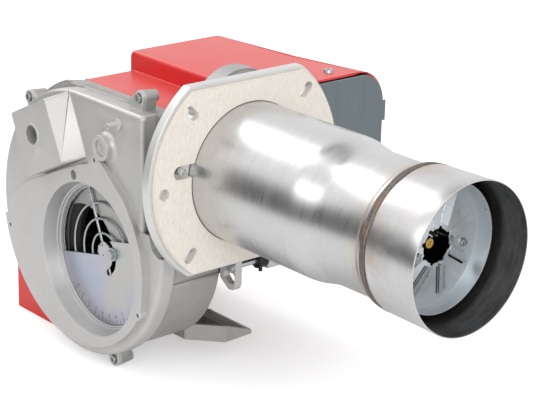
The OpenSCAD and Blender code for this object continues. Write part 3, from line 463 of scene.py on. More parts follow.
def gasket_finish(name, colour):
    finish = Finish(name, colour, 0.0, 0.9, 0.0004)
    fibre = finish.shared("streak", Lines=700.0, Run=160.0)
    fluff = finish.tree.noise(finish.place, 520.0, 4.0, 0.7)
    finish.tone(fibre["Tone"], 0.88, 1.04)
    finish.tone(fluff, 0.9, 1.08)
    finish.wear(0.3, 0.5, linear(150, 138, 124))
    finish.relief(fluff, 0.00012, 0.8)
    return finish.done()


HEAT_COLOURS = ((0.0, (206, 204, 200)), (0.4, (214, 200, 168)), (0.62, (196, 170, 140)), (0.8, (150, 128, 124)),
                (0.92, (118, 116, 128)), (1.0, (255, 255, 255)))


def tube_finish(name, colour, soot):
    """Rolled stainless sheet with lines round it, heat colours towards the weld and soot inside."""
    finish = Finish(name, colour, 1.0, 0.3)
    tree = finish.tree
    turned = finish.shared("turned", Lines=2400.0)
    finish.tone(turned["Tone"], 0.94, 1.03)
    finish.tone(finish.patches(22.0, 5.0, 0.62, 0.35, 0.68), 0.95)
    parts = tree.split(finish.place)
    ragged = tree.maths("MULTIPLY_ADD", tree.noise(finish.place, 38.0, 4.0, 0.6), 0.012, parts["Y"])
    shades = tree.ramp(tree.spread(ragged, -0.198, -0.226), HEAT_COLOURS)
    finish.tint(tree.spread(ragged, -0.196, -0.224), shades, 0.45)
    squares = [tree.maths("POWER", parts[axis], 2.0) for axis in "XZ"]
    inside = tree.spread(tree.maths("SQRT", tree.maths("ADD", *squares)), 0.0642, 0.0634)
    finish.tint(inside, soot, 0.5)
    finish.roughen(turned["Tone"], 0.24, 0.36)
    finish.relief(turned["Height"], 0.00002, 0.3)
    return finish.done()


def cup_finish(name, colour, soot=None):
    """The mouth's sheet: bright with straw patches outside, burnt inside."""
    finish = Finish(name, colour, 1.0, 0.34)
    tree = finish.tree
    turned = finish.shared("turned", Lines=1700.0)
    finish.tone(turned["Tone"], 0.86, 1.03)
    along = tree.split(finish.place)["Y"]
    patch = finish.patches(26.0, 5.0, 0.65, 0.42, 0.7)
    close = tree.maths("MULTIPLY", patch, tree.spread(along, -0.272, -0.236, 0.15, 1.0))
    finish.tint(close, linear(178, 146, 112), 0.6)
    if soot is not None:
        smoke = finish.patches(16.0, 6.0, 0.62, 0.3, 0.75)
        finish.tint(tree.maths("MULTIPLY_ADD", smoke, 0.2, 0.78), soot)
        finish.tone(turned["Tone"], 0.55, 1.7)
        finish.roughen(smoke, 0.36, 0.56)
    else:
        finish.roughen(patch, 0.28, 0.42)
    finish.relief(turned["Height"], 0.00002, 0.6)
    return finish.done()


def weld_finish(name, colour):
    finish = Finish(name, colour, 0.9, 0.42)
    scale = finish.tree.noise(finish.place, 420.0, 5.0, 0.7)
    finish.tone(finish.tree.spread(scale, 0.3, 0.7), 0.4, 1.25)
    finish.tint(finish.patches(60.0, 3.0, 0.5, 0.45, 0.65), linear(150, 120, 92), 0.4)
    finish.roughen(scale, 0.3, 0.6)
    finish.relief(scale, 0.0004, 0.9)
    return finish.done()


FILM_COLOURS = ((0.0, (172, 190, 214)), (0.34, (198, 190, 208)), (0.6, (210, 202, 188)), (0.8, (184, 206, 196)),
                (1.0, (176, 194, 216)))


def damper_finish(name, colour):
    """Passivated zinc: faint blue, rose and straw clouds over a satin sheet."""
    finish = Finish(name, colour, 1.0, 0.32)
    tree = finish.tree
    film = tree.noise(finish.place, 13.0, 2.0, 0.4)
    finish.tint(0.55, tree.ramp(tree.spread(film, 0.28, 0.72), FILM_COLOURS))
    streak = finish.shared("streak", Lines=900.0, Run=20.0)
    finish.tone(streak["Tone"], 0.95)
    finish.roughen(film, 0.28, 0.4)
    finish.relief(streak["Height"], 0.00001, 0.5)
    return finish.done()


def zinc_finish(name, colour, round_edges=0.0):
    finish = Finish(name, colour, 1.0, 0.3, round_edges)
    finish.tint(finish.patches(70.0, 3.0, 0.55, 0.3, 0.7), linear(206, 200, 176), 0.35)
    # Near-white proud edges: partly rubbed plating, partly a painted edge highlight.
    finish.wear(0.3, 0.6, linear(232, 233, 232))
    grime = finish.patches(240.0, 4.0, 0.7, 0.35, 0.7)
    finish.tone(grime, 0.86)
    finish.roughen(grime, 0.22, 0.42)
    finish.relief(grime, 0.00002, 0.4)
    return finish.done()


def black_finish(name, colour, roughness, metallic=0.0, round_edges=0.0004):
    finish = Finish(name, colour, metallic, roughness, round_edges)
    grains = finish.shared("grain", Grain=1300.0, Blotch=40.0)
    finish.tone(grains["Tone"], 0.75, 1.2)
    # Lighter proud edges: partly worn black coat, partly a painted edge highlight.
    finish.wear(0.5, 0.4, linear(120, 118, 116))
    finish.dust(30.0, 0.16, linear(150, 144, 136))
    finish.roughen(grains["Tone"], roughness - 0.06, roughness + 0.1)
    finish.relief(grains["Height"], 0.00003, 0.6)
    return finish.done()


def moulded_finish(name, colour, roughness=0.5, pattern=900.0):
    finish = Finish(name, colour, 0.0, roughness, 0.0005)
    grains = finish.shared("grain", Grain=pattern, Blotch=22.0)
    finish.tone(grains["Tone"], 0.9, 1.06)
    finish.dust(20.0, 0.1, linear(190, 184, 176))
    finish.roughen(grains["Tone"], roughness - 0.05, roughness + 0.08)
    finish.relief(grains["Height"], 0.00003, 0.7)
    return finish.done()


def bare_metal_finish(name, colour, roughness):
    finish = Finish(name, colour, 1.0, roughness, 0.0004)
    tarnish = finish.patches(55.0, 5.0, 0.62, 0.35, 0.7)
    finish.tone(tarnish, 0.72)
    fine = finish.tree.noise(finish.place, 1400.0, 3.0, 0.6)
    # Brighter proud edges: partly polished by rubbing, partly a painted edge highlight.
    rubbed_and_highlit = finish.shared("edge", Reach=EDGE_REACH, **{"Break up": 0.3})
    finish.tone(rubbed_and_highlit["Mask"], 1.0, 1.25)
    finish.roughen(tarnish, roughness - 0.08, roughness + 0.12)
    finish.relief(fine, 0.00001, 0.5)
    return finish.done()


def lamination_finish(name, colour):
    """Stacked electrical sheet: lines across the motor's axis, which lies along X."""
    finish = Finish(name, colour, 1.0, 0.45)
    values = {"Vector": finish.place, "Scale": 320.0, "Distortion": 0.4, "Detail": 1.0}
    stack = finish.tree.add("ShaderNodeTexWave", values, wave_type="BANDS", bands_direction="X").outputs["Fac"]
    finish.tone(stack, 0.6, 1.1)
    rust = finish.patches(46.0, 5.0, 0.65, 0.5, 0.8)
    finish.tint(rust, linear(120, 82, 58), 0.3)
    finish.roughen(rust, 0.4, 0.65)
    finish.relief(stack, 0.00008, 0.7)
    return finish.done()


def porcelain_finish(name, colour):
    finish = Finish(name, colour, 0.0, 0.2, 0.0003, **{"Coat Weight": 0.6, "Coat Roughness": 0.08})
    cloud = finish.patches(60.0, 3.0, 0.5, 0.3, 0.7)
    finish.tone(cloud, 0.94)
    along = finish.tree.split(finish.place)["Y"]
    scorch = finish.tree.maths("MULTIPLY", finish.tree.spread(along, -0.215, -0.246), cloud)
    finish.tint(scorch, linear(120, 104, 88), 0.6)
    finish.roughen(cloud, 0.16, 0.3)
    return finish.done()


def recipes(look):
    """How each material is made, by its name: its maker and what that is given."""
    return {
        "cast_aluminium": (cast_finish, dict(
            colour=look.cast_light, grain=1500.0, depth=0.00006, roughness=0.42, edge_colour=linear(240, 238, 235),
            edge_share=0.85, darkest=0.9, round_edges=0.001)),
        "sand_casting": (cast_finish, dict(
            colour=look.cast_dark, grain=620.0, depth=0.00022, roughness=0.5, edge_colour=linear(196, 194, 190),
            edge_share=0.6, darkest=0.78, round_edges=0.001)),
        "flange_metal": (cast_finish, dict(
            colour=look.plate, grain=1100.0, depth=0.00005, roughness=0.36, edge_colour=linear(238, 237, 234),
            edge_share=0.8, darkest=0.9)),
        "red_enamel": (enamel_finish, dict(colour=look.enamel)),
        "galvanised_sheet": (streaked_finish, dict(
            colour=look.sheet, metallic=0.85, roughness=0.4, lines=420.0, run=7.0,
            edge_colour=linear(205, 210, 212), dusty=0.1)),
        "gasket_board": (gasket_finish, dict(colour=look.gasket)),
        "stainless": (tube_finish, dict(colour=look.tube, soot=look.soot)),
        "cup_outside": (cup_finish, dict(colour=look.tube)),
        "cup_inside": (cup_finish, dict(colour=look.tube, soot=look.soot)),
        "weld": (weld_finish, dict(colour=linear(128, 120, 114))),
        "zinc_plate": (zinc_finish, dict(colour=look.zinc)),
        "head_zinc": (streaked_finish, dict(
            colour=linear(196, 202, 206), metallic=0.6, roughness=0.3, lines=160.0, run=40.0, darkest=0.96,
            depth=0.000005)),
        "zinc_soft": (zinc_finish, dict(colour=look.zinc, round_edges=0.0004)),
        "damper_zinc": (damper_finish, dict(colour=look.damper)),
        "scale_ink": (black_finish, dict(colour=linear(52, 50, 50), roughness=0.6, round_edges=0.0)),
        "guide_sheet": (streaked_finish, dict(
            colour=linear(190, 189, 186), metallic=0.9, roughness=0.4, lines=700.0, run=10.0, round_edges=0.0004,
            dusty=0.1)),
        "black_metal": (black_finish, dict(colour=look.black, metallic=0.3, roughness=0.4)),
        "motor_enamel": (black_finish, dict(colour=linear(62, 66, 70), roughness=0.42, round_edges=0.0006)),
        "lamination": (lamination_finish, dict(colour=linear(136, 136, 138))),
        "shaft_steel": (bare_metal_finish, dict(colour=linear(190, 190, 190), roughness=0.28)),
        "brass": (bare_metal_finish, dict(colour=linear(201, 164, 92), roughness=0.32)),
        "copper": (bare_metal_finish, dict(colour=linear(198, 128, 92), roughness=0.32)),
        "porcelain": (porcelain_finish, dict(colour=linear(236, 230, 216))),
        "black_plastic": (moulded_finish, dict(colour=linear(40, 40, 41))),
        "blue_plastic": (moulded_finish, dict(colour=linear(46, 64, 104))),
        "white_plastic": (moulded_finish, dict(colour=linear(226, 225, 220), roughness=0.42)),
        "amber_plastic": (moulded_finish, dict(colour=linear(214, 158, 62), roughness=0.42, pattern=500.0)),
        "red_plastic": (moulded_finish, dict(colour=linear(190, 26, 22), roughness=0.3, pattern=400.0)),
    }


FINISHES = {}


def finish(name):
    """The material of that name, made on first use from the settings."""
    if name not in FINISHES:
        maker, values = recipes(bpy.context.scene.burner_finish)[name]
        FINISHES[name] = maker(name, **values)
    return FINISHES[name]


# Pieces

def body_of(node):
    return frame["nodes"][node]["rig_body"]


def settle(piece, body, slot, *stands_for):
    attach(piece, body)
    if stands_for:
        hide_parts(*stands_for)
    return piece


def placed(name, data):
    """A new object in the scene for some data."""
    holder = bpy.data.objects.new(name, data)
    bpy.context.scene.collection.objects.link(holder)
    return holder


def mesh_of(name, bm):
    mesh = bpy.data.meshes.new(name)
    bm.to_mesh(mesh)
    bm.free()
    return mesh


def piece_from(name, bm, material, smooth=30.0):
    mesh = mesh_of(name, bm)
    mesh.shade_smooth()
    mesh.set_sharp_from_angle(angle=math.radians(smooth))
    mesh.materials.append(finish(material))
    return placed(name, mesh)


def merged_copy(node):
    """A copy of a CAD node's loose triangles, merged into a closed mesh with flat faces in one piece."""
    bm = bmesh.new()
    bm.from_mesh(frame["nodes"][node].data)
    bmesh.ops.remove_doubles(bm, verts=bm.verts, dist=MERGE_DISTANCE)
    bmesh.ops.dissolve_degenerate(bm, edges=bm.edges, dist=SLIVER)
    bmesh.ops.dissolve_limit(bm, angle_limit=math.radians(FLAT_SEAM), verts=bm.verts, edges=bm.edges)
    return bm


def edge_room(edge):
    """How much room an edge's two faces leave for rounding it, at most a metre."""
    line = (edge.verts[1].co - edge.verts[0].co).normalized()
    room = 1.0
    for loop in edge.link_loops:
        for other in (loop.link_loop_prev.edge, loop.link_loop_next.edge):
            run = other.verts[1].co - other.verts[0].co
            across = run.cross(line).length
            if across > LEAVES_EDGE * run.length:
                room = min(room, across)
    for face in edge.link_faces:
        if len(face.verts) > 6:
            room = min(room, 2 * face.calc_area() / face.calc_perimeter())
    return room


def acute(vert, first, second):
    """Whether two edges leave a vertex so close together that their roundings would run away in a spike."""
    ways = [(edge.other_vert(vert).co - vert.co).normalized() for edge in (first, second)]
    return ways[0].dot(ways[1]) > ACUTE


def softened(node, width, material, slot=None, segments=2):
    """The node's own shape with its hard edges rounded, less where there is little room."""
    bm = merged_copy(node)
    bm.edges.index_update()
    weight = bm.edges.layers.float.new("bevel_weight_edge")
    for edge in bm.edges:
        if edge.is_manifold and edge.calc_face_angle() > math.radians(HARD_EDGE):
            share = min(1.0, ROOM_SHARE * edge_room(edge) / width)
            edge[weight] = share if share > LEAST_SHARE else 0.0
    for vert in bm.verts:
        for first in vert.link_edges:
            for second in vert.link_edges:
                rounded = first.index < second.index and first[weight] and second[weight]
                if rounded and acute(vert, first, second):
                    first[weight] = second[weight] = 0.0
    piece = piece_from("soft_" + node, bm, material, HARD_EDGE)
    bevel = piece.modifiers.new("Rounded edges", "BEVEL")
    bevel.width = width
    bevel.segments = segments
    bevel.limit_method = "WEIGHT"
    bevel.use_clamp_overlap = False
    bevel.harden_normals = True
    return settle(piece, body_of(node), slot or material, node)


def keep_flat(piece, beyond, area, angle):
    """Marks folds above the angle as sharp between faces above the area, left of the given place."""
    bm = bmesh.new()
    bm.from_mesh(piece.data)
    for edge in bm.edges:
        large = all(face.calc_area() > area and face.calc_center_median().x < beyond for face in edge.link_faces)
        if large and edge.is_manifold and edge.calc_face_angle() > angle:
            edge.smooth = False
    bm.to_mesh(piece.data)
    bm.free()


def turn_round(bm, geometry, steps):
    bmesh.ops.spin(bm, geom=geometry, cent=(0, 0, 0), axis=(0, 1, 0), angle=math.tau, steps=steps, use_merge=True)


def closed(bm):
    bmesh.ops.remove_doubles(bm, verts=bm.verts, dist=SEAM_DISTANCE)
    bmesh.ops.recalc_face_normals(bm, faces=bm.faces)
    return bm


def spun(points):
    """A closed profile of (radius, y) turned once round the tube's axis."""
    bm = bmesh.new()
    ring = [bm.verts.new((radius, y, 0.0)) for radius, y in points]
    for first, second in zip(ring, ring[1:] + ring[:1]):
        bm.edges.new((first, second))
    turn_round(bm, bm.verts[:] + bm.edges[:], SPIN_STEPS)
    return closed(bm)


def coat(node, material):
    """Gives a CAD node its finish."""
    piece = frame["nodes"][node]
    for slot in piece.material_slots:
        slot.material = finish(material)
    if not piece.material_slots:
        piece.data.materials.append(finish(material))


class BURNER_OT_castings(bpy.types.Operator):
    """Rounds the cover, scroll and foot castings"""
    bl_idname = "burner.castings"
    bl_label = "Castings"
    bl_options = {"REGISTER", "UNDO"}

    def execute(self, context):
        sizes = context.scene.burner_sizes
        cover = softened("intake_cover", sizes.casting_edge, "cast_aluminium")
        keep_flat(cover, beyond=-0.0775, area=40 * MM * MM, angle=math.radians(4.0))
        softened("fan_housing", sizes.casting_edge, "sand_casting")
        softened("support_foot", sizes.casting_edge, "sand_casting")
        return {"FINISHED"}


class BURNER_OT_flange(bpy.types.Operator):
    """Rounds the flange plate, its gasket and the split collar with its bolt"""
    bl_idname = "burner.flange"
    bl_label = "Flange"
    bl_options = {"REGISTER", "UNDO"}

    def execute(self, context):
        sizes = context.scene.burner_sizes
        softened("flange_plate", sizes.plate_edge, "flange_metal", "cast_aluminium")
        softened("clamp_collar", sizes.plate_edge, "cast_aluminium")
        softened("flange_gasket", 0.4 * MM, "gasket_board")
        softened("clamp_nuts", sizes.screw_edge, "black_metal")
        for node in ("clamp_bolt", "flange_screws"):
            softened(node, sizes.screw_edge, "zinc_plate")
        return {"FINISHED"}


class BURNER_OT_tube(bpy.types.Operator):
    """Rolls the stepped blast tube"""
    bl_idname = "burner.tube"
    bl_label = "Blast tube"
    bl_options = {"REGISTER", "UNDO"}

    def execute(self, context):
        sizes = context.scene.burner_sizes
        outer = [(sizes.tube_radius, TUBE_BACK), (sizes.tube_radius, TUBE_STRAIGHT)]
        middle = (sizes.tube_radius + sizes.neck_radius) / 2
        swing = (sizes.tube_radius - sizes.neck_radius) / 2
        for n in range(STEP_FACETS + 1):
            share = n / STEP_FACETS
            outer.append((middle + swing * math.cos(math.pi * share), STEP_START - STEP_LENGTH * share))
        outer += [(sizes.neck_radius + over * MM, y) for over, y in NECK_FLARE]
        inner = [(radius - sizes.tube_wall, y) for radius, y in reversed(outer)]
        tube = piece_from("rolled_tube", spun(outer + inner), "stainless", 40.0)
        settle(tube, "frame", "stainless", "blast_tube")
        return {"FINISHED"}


class BURNER_OT_weld(bpy.types.Operator):
    """Lays the two rippled beads of the weld seam"""
    bl_idname = "burner.weld"
    bl_label = "Weld seam"
    bl_options = {"REGISTER", "UNDO"}

    def execute(self, context):
        sizes = context.scene.burner_sizes
        neck = sizes.neck_radius
        bm = bmesh.new()
        for over, y, thick, shift in WELD_BEADS:
            radius, bead = neck + over * MM, thick * MM
            centre = Matrix.Translation((radius, y, 0))
            profile = bmesh.ops.create_circle(bm, segments=BEAD_SIDES, radius=bead, matrix=centre)["verts"]
            edges = list({edge for vert in profile for edge in vert.link_edges})
            turn_round(bm, profile + edges, sizes.ripples * STEPS_A_RIPPLE)
            for vert in bm.verts:
                if not vert.tag:
                    vert.tag = True
                    self.ripple(vert, radius, bead, sizes.ripples, shift)
        beads = piece_from("weld_beads", closed(bm), "weld", 60.0)
        settle(beads, "frame", "weld")
        low, high = neck + 1 * MM, neck + 3 * MM
        root = spun([(low, WELD_BACK), (high, WELD_BACK), (high, WELD_FRONT), (low, WELD_FRONT)])
        settle(piece_from("weld_root", root, "weld"), "frame", "weld", "weld_seam")
        return {"FINISHED"}

    def ripple(self, vert, radius, bead, ripples, shift):
        """Moves a bead's corner out or in, more the further out it stands: short ripples on a slow wave."""
        reach = math.hypot(vert.co.x, vert.co.z)
        angle = math.atan2(vert.co.x, vert.co.z) * ripples
        wave = 0.22 * MM * math.sin(angle / 9 + shift)
        slack = wave + 0.30 * MM * abs(math.sin(angle / 2 + shift)) - 0.25 * MM
        share = max(0.0, (reach - radius) / bead)
        vert.co.x *= 1 + slack * share / reach
        vert.co.z *= 1 + slack * share / reach


class BURNER_OT_mouth(bpy.types.Operator):
    """Forms the mouth cup, bright outside and sooty inside"""
    bl_idname = "burner.mouth"
    bl_label = "Mouth cup"
    bl_options = {"REGISTER", "UNDO"}

    def execute(self, context):
        sizes = context.scene.burner_sizes
        neck, rim = sizes.neck_radius, sizes.mouth_radius
        lower, lining = neck + 5 * MM, rim - sizes.tube_wall
        outside = [(neck + 2.2 * MM, CUP_START), (neck + 3.6 * MM, CUP_START),
                   (lower - 0.5 * MM, CUP_START - 2 * MM), (lower - 0.1 * MM, CUP_START - 3.4 * MM),
                   (lower, CUP_START - 4.4 * MM), (rim - 0.6 * MM, CUP_BEND), (rim, LIP_START),
                   (rim - 0.2 * MM, LIP_END), (rim - 0.5 * MM, MOUTH_FRONT)]
        inside = [(lining + 0.5 * MM, MOUTH_FRONT), (lining + 0.2 * MM, LIP_END), (lining, LIP_START),
                  (lining - 0.6 * MM, CUP_BEND), (lower - sizes.tube_wall, CUP_START - 5 * MM)]
        cup = piece_from("mouth_shell", spun(outside + inside), "cup_outside", 40.0)
        cup.data.materials.append(finish("cup_inside"))
        for face in cup.data.polygons:
            centre = face.center
            face.material_index = int(face.normal.x * centre.x + face.normal.z * centre.z < 0)
        settle(cup, "frame", "stainless", "mouth_cup")
        return {"FINISHED"}


class BURNER_OT_head(bpy.types.Operator):
    """Finishes the diffuser, nozzle and electrodes"""
    bl_idname = "burner.head"
    bl_label = "Firing head"
    bl_options = {"REGISTER", "UNDO"}

    def execute(self, context):
        softened("diffuser_disc", 0.25 * MM, "head_zinc", "zinc_plate")
        softened("diffuser_screws", 0.2 * MM, "zinc_plate", "stainless")
        softened("nozzle", 0.25 * MM, "brass")
        coat("nozzle_holder", "brass")
        coat("nozzle_pipe", "brass")
        for node in ("head_bracket", "electrode_clamp", "head_screw"):
            coat(node, "zinc_soft")
        coat("electrode_insulators", "porcelain")
        coat("electrode_wires", "shaft_steel")
        coat("photocell", "black_plastic")
        return {"FINISHED"}


class BURNER_OT_damper(bpy.types.Operator):
    """Marks the damper plate with its scale"""
    bl_idname = "burner.damper"
    bl_label = "Damper"
    bl_options = {"REGISTER", "UNDO"}

    def execute(self, context):
        sizes = context.scene.burner_sizes
        softened("damper_plate", 0.25 * MM, "damper_zinc")
        ticks = bmesh.new()
        for n in range(TICKS):
            length = sizes.tick_length if n % 2 else sizes.tick_length * 0.6
            shape = Matrix.Diagonal((0.12 * MM, length, sizes.tick_width, 1.0))
            matrix = self.on_scale(n, SCALE_RADIUS - length / 2) @ shape
            bmesh.ops.create_cube(ticks, size=1.0, matrix=matrix)
        settle(piece_from("damper_ticks", ticks, "scale_ink"), "damper", "black_plastic")
        reach = SCALE_RADIUS - sizes.tick_length - sizes.digit_height * 0.72
        for n in range(FIGURES):
            self.figure(str(n), sizes.digit_height, self.on_scale(2 * n + 1, reach))
        return {"FINISHED"}

    def on_scale(self, tick, reach):
        """The place of a tick's number on the scale, at some distance from the damper's axis."""
        turn = Matrix.Rotation(math.radians(SCALE_START + TICK_STEP * tick), 4, "X")
        return Matrix.Translation(DAMPER_CENTRE) @ turn @ Matrix.Translation((0, reach, 0))

    def figure(self, text, height, place):
        curve = bpy.data.curves.new("figure_" + text, "FONT")
        curve.body = text
        curve.size = height * 1.35
        curve.align_x = "CENTER"
        curve.align_y = "CENTER"
        curve.extrude = 0.05 * MM
        curve.resolution_u = 3
        holder = placed("figure_" + text, curve)
        bpy.context.view_layer.update()
        mesh = bpy.data.meshes.new_from_object(holder.evaluated_get(bpy.context.evaluated_depsgraph_get()))
        bpy.data.objects.remove(holder)
        facing = Matrix(((0, 0, -1, 0), (-1, 0, 0, 0), (0, 1, 0, 0), (0, 0, 0, 1)))
        outwards = Matrix.Rotation(math.radians(-90), 4, "Z")
        mesh.transform(place @ facing @ outwards)
        mesh.materials.clear()
        mesh.materials.append(finish("scale_ink"))
        settle(placed("damper_figure_" + text, mesh), "damper", "black_plastic")


class BURNER_OT_intake(bpy.types.Operator):
    """Finishes the guard, fan wheel, inlet cone and air guide behind the intake"""
    bl_idname = "burner.intake"
    bl_label = "Intake"
    bl_options = {"REGISTER", "UNDO"}

    def execute(self, context):
        sizes = context.scene.burner_sizes
        coat("wire_guard", "zinc_soft")
        # The near-black wheel and cone also paint the shade deep inside the intake.
        coat("fan_wheel", "black_metal")
        coat("inlet_cone", "black_metal")
        softened("damper_screw", sizes.screw_edge, "zinc_plate")
        coat("air_guide_plate", "guide_sheet")
        softened("inspection_plug", 0.4 * MM, "cast_aluminium")
        softened("pressure_nipple", 0.25 * MM, "cast_aluminium")
        softened("cover_bolts", sizes.screw_edge, "zinc_plate")
        return {"FINISHED"}


class BURNER_OT_hood(bpy.types.Operator):
    """Rounds the red hood and the grey front panel"""
    bl_idname = "burner.hood"
    bl_label = "Hood"
    bl_options = {"REGISTER", "UNDO"}

    def execute(self, context):
        sizes = context.scene.burner_sizes
        softened("hood", sizes.sheet_edge, "red_enamel", segments=3)
        softened("front_panel", 0.4 * MM, "galvanised_sheet")
        softened("hood_screws", sizes.screw_edge, "zinc_plate")
        return {"FINISHED"}


class BURNER_OT_works(bpy.types.Operator):
    """Finishes the motor, pump, pipes and electrical parts under the hood"""
    bl_idname = "burner.works"
    bl_label = "Works under the hood"
    bl_options = {"REGISTER", "UNDO"}

    coats = {
        "motor_shaft": "shaft_steel", "motor_rotor": "lamination", "motor_stator": "lamination",
        "motor_casing": "motor_enamel", "motor_end_cap": "motor_enamel", "motor_bearings": "shaft_steel",
        "motor_screws": "zinc_soft", "run_capacitor": "white_plastic", "pump_coupling": "amber_plastic",
        "pump_bracket": "sand_casting", "oil_pump": "sand_casting", "solenoid_coil": "black_plastic",
        "oil_pipe": "copper", "pipe_union": "brass", "chassis_plate": "guide_sheet",
        "ignition_transformer": "black_plastic", "control_base": "black_plastic", "control_box": "blue_plastic",
        "reset_button": "red_plastic", "plug_socket": "black_plastic", "foot_screws": "zinc_soft",
    }

    def execute(self, context):
        for node, material in self.coats.items():
            coat(node, material)
        return {"FINISHED"}


# Stage

def camera_axes(stage):
    """The camera's right, up and view directions."""
    east, north = math.sin(stage.azimuth), math.cos(stage.azimuth)
    flat, drop = math.cos(stage.elevation), math.sin(stage.elevation)
    view = Vector((east * flat, north * flat, -drop))
    side = Vector((north, -east, 0.0))
    top = side.cross(view)
    right = side * math.cos(stage.roll) + top * math.sin(stage.roll)
    up = top * math.cos(stage.roll) - side * math.sin(stage.roll)
    return right, up, view


def aim(holder, place, target):
    direction = (Vector(target) - Vector(place)).normalized()
    turn = direction.to_track_quat("-Z", "Y").to_matrix().to_4x4()
    holder.matrix_world = Matrix.Translation(Vector(place)) @ turn


def softbox(name, place, target, width, height, power):
    light = bpy.data.lights.new(name, "AREA")
    light.shape = "RECTANGLE"
    light.size, light.size_y = width, height
    light.energy = power
    holder = placed(name, light)
    aim(holder, place, target)
    holder.visible_camera = False


def stage_sheet(name, matrix):
    """A one metre square put in place by a matrix, with an empty material; returns it and the material's tree."""
    bm = bmesh.new()
    bmesh.ops.create_grid(bm, x_segments=1, y_segments=1, size=0.5, matrix=matrix)
    holder = placed(name, mesh_of(name, bm))
    material = bpy.data.materials.new(name)
    holder.data.materials.append(material)
    holder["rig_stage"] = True
    return holder, blank_tree(material)


def card(name, place, target, width, height, grey):
    """A card that only reflections see; its upper part fades to white."""
    holder, tree = stage_sheet(name, Matrix.Diagonal((width, height, 1.0, 1.0)))
    aim(holder, place, target)
    up = tree.split(tree.add("ShaderNodeTexCoord").outputs["Object"])["Y"]
    level = tree.spread(up, 0.1 * height, 0.5 * height, grey, 1.0)
    glow = tree.add("ShaderNodeEmission", {"Color": WHITE, "Strength": level})
    tree.add("ShaderNodeOutputMaterial", {"Surface": glow.outputs[0]})
    for kind in ("camera", "diffuse", "transmission", "volume_scatter", "shadow"):
        setattr(holder, "visible_" + kind, False)


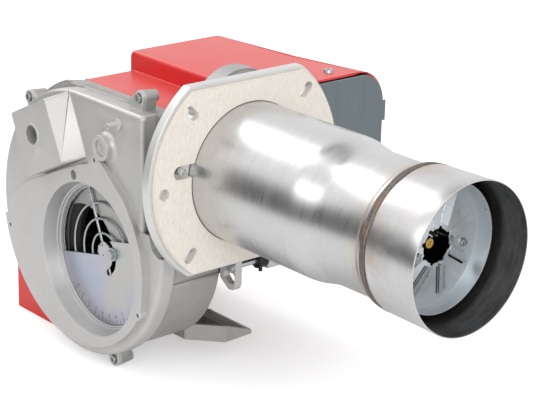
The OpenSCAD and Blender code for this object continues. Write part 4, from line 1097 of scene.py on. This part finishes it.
class BURNER_OT_stage(bpy.types.Operator):
    """Sets up the floor, the soft light and the camera"""
    bl_idname = "burner.stage"
    bl_label = "Stage"
    bl_options = {"REGISTER", "UNDO"}

    def execute(self, context):
        stage = context.scene.burner_stage
        self.floor(stage)
        self.world(context.scene, stage)
        self.lamps()
        self.camera(context.scene, stage)
        context.scene.view_settings.view_transform = "Standard"
        return {"FINISHED"}

    def floor(self, stage):
        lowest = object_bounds()[0][2]
        size = stage.floor_size
        matrix = Matrix.Translation((0, 0, lowest - 0.2 * MM)) @ Matrix.Diagonal((size, size, 1.0, 1.0))
        tree = stage_sheet("floor", matrix)[1]
        paper = tree.add("ShaderNodeBsdfDiffuse", {"Color": (0.86, 0.86, 0.86)})
        glow = tree.add("ShaderNodeEmission", {"Color": WHITE, "Strength": 0.42})
        seen = tree.add("ShaderNodeLightPath").outputs["Is Camera Ray"]
        none = tree.add("ShaderNodeEmission", {"Strength": 0.0})
        lift = tree.add("ShaderNodeMixShader", {0: seen, 1: none.outputs[0], 2: glow.outputs[0]})
        both = tree.add("ShaderNodeAddShader", {0: paper.outputs[0], 1: lift.outputs[0]})
        tree.add("ShaderNodeOutputMaterial", {"Surface": both.outputs[0]})

    def world(self, scene, stage):
        world = bpy.data.worlds.new("studio")
        scene.world = world
        tree = blank_tree(world)
        path = tree.add("ShaderNodeLightPath").outputs
        mirrored = tree.maths("MAXIMUM", path["Is Glossy Ray"], path["Is Transmission Ray"])
        shown = tree.maths("MAXIMUM", path["Is Camera Ray"], mirrored)
        level = tree.spread(shown, 0.0, 1.0, stage.light, 1.0)
        sky = tree.add("ShaderNodeBackground", {"Color": WHITE, "Strength": level})
        tree.add("ShaderNodeOutputWorld", {"Surface": sky.outputs[0]})

    def lamps(self):
        """A long soft band above and behind, keys at the left and in front, and dark cards between them."""
        middle = (0.0, -0.1, 0.0)
        softbox("top_band", (-0.4, 5.8, 5.6), middle, width=3.4, height=6.0, power=150.0)
        softbox("key_light", (-5.6, 2.4, 3.3), middle, width=3.0, height=2.4, power=44.0)
        softbox("front_light", (-1.8, -4.2, 2.2), (0.0, 0.0, 0.0), width=3.0, height=3.0, power=92.0)
        card("horizon_card", (-0.78, 0.72, 0.13), (0.0, -0.1, 0.13), width=3.2, height=0.72, grey=0.1)
        card("overhead_card", (1.5, 2.6, 6.0), middle, width=4.6, height=2.6, grey=0.25)

    def camera(self, scene, stage):
        right, up, view = camera_axes(stage)
        place = -view * stage.distance + right * stage.aside + up * stage.lift
        camera = bpy.data.cameras.new("photo_camera")
        camera.sensor_width = 36.0
        camera.lens = stage.lens
        camera.shift_x = stage.shift_x
        camera.shift_y = stage.shift_y
        camera.clip_start = 0.05
        camera.clip_end = 200.0
        holder = placed("photo_camera", camera)
        turn = Matrix((right, up, -view)).transposed().to_4x4()
        holder.matrix_world = Matrix.Translation(place) @ turn
        scene.camera = holder


class BURNER_PT_panel(bpy.types.Panel):
    bl_idname = "BURNER_PT_panel"
    bl_label = "Oil Burner"
    bl_space_type = "VIEW_3D"
    bl_region_type = "UI"
    bl_category = "Burner"

    def draw(self, context):
        column = self.layout.column(align=True)
        for operator in OPERATORS:
            column.operator(operator.bl_idname)
        for settings in (context.scene.burner_sizes, context.scene.burner_finish, context.scene.burner_stage):
            box = self.layout.box()
            for key in settings.bl_rna.properties.keys():
                if key not in ("rna_type", "name"):
                    box.prop(settings, key)


OPERATORS = (BURNER_OT_castings, BURNER_OT_flange, BURNER_OT_tube, BURNER_OT_weld, BURNER_OT_mouth, BURNER_OT_head,
             BURNER_OT_damper, BURNER_OT_intake, BURNER_OT_hood, BURNER_OT_works, BURNER_OT_stage)
SETTINGS = (("burner_sizes", BurnerSizes), ("burner_finish", BurnerFinish), ("burner_stage", BurnerStage))


def register():
    for key, settings in SETTINGS:
        bpy.utils.register_class(settings)
        setattr(bpy.types.Scene, key, PointerProperty(type=settings))
    for kind in OPERATORS + (BURNER_PT_panel,):
        bpy.utils.register_class(kind)


def unregister():
    for kind in reversed(OPERATORS + (BURNER_PT_panel,)):
        bpy.utils.unregister_class(kind)
    for key, settings in reversed(SETTINGS):
        delattr(bpy.types.Scene, key)
        bpy.utils.unregister_class(settings)


def main():
    register()
    for operator in OPERATORS:
        family, action = operator.bl_idname.split(".")
        getattr(getattr(bpy.ops, family), action)()


if __name__ == "__main__":
    main()
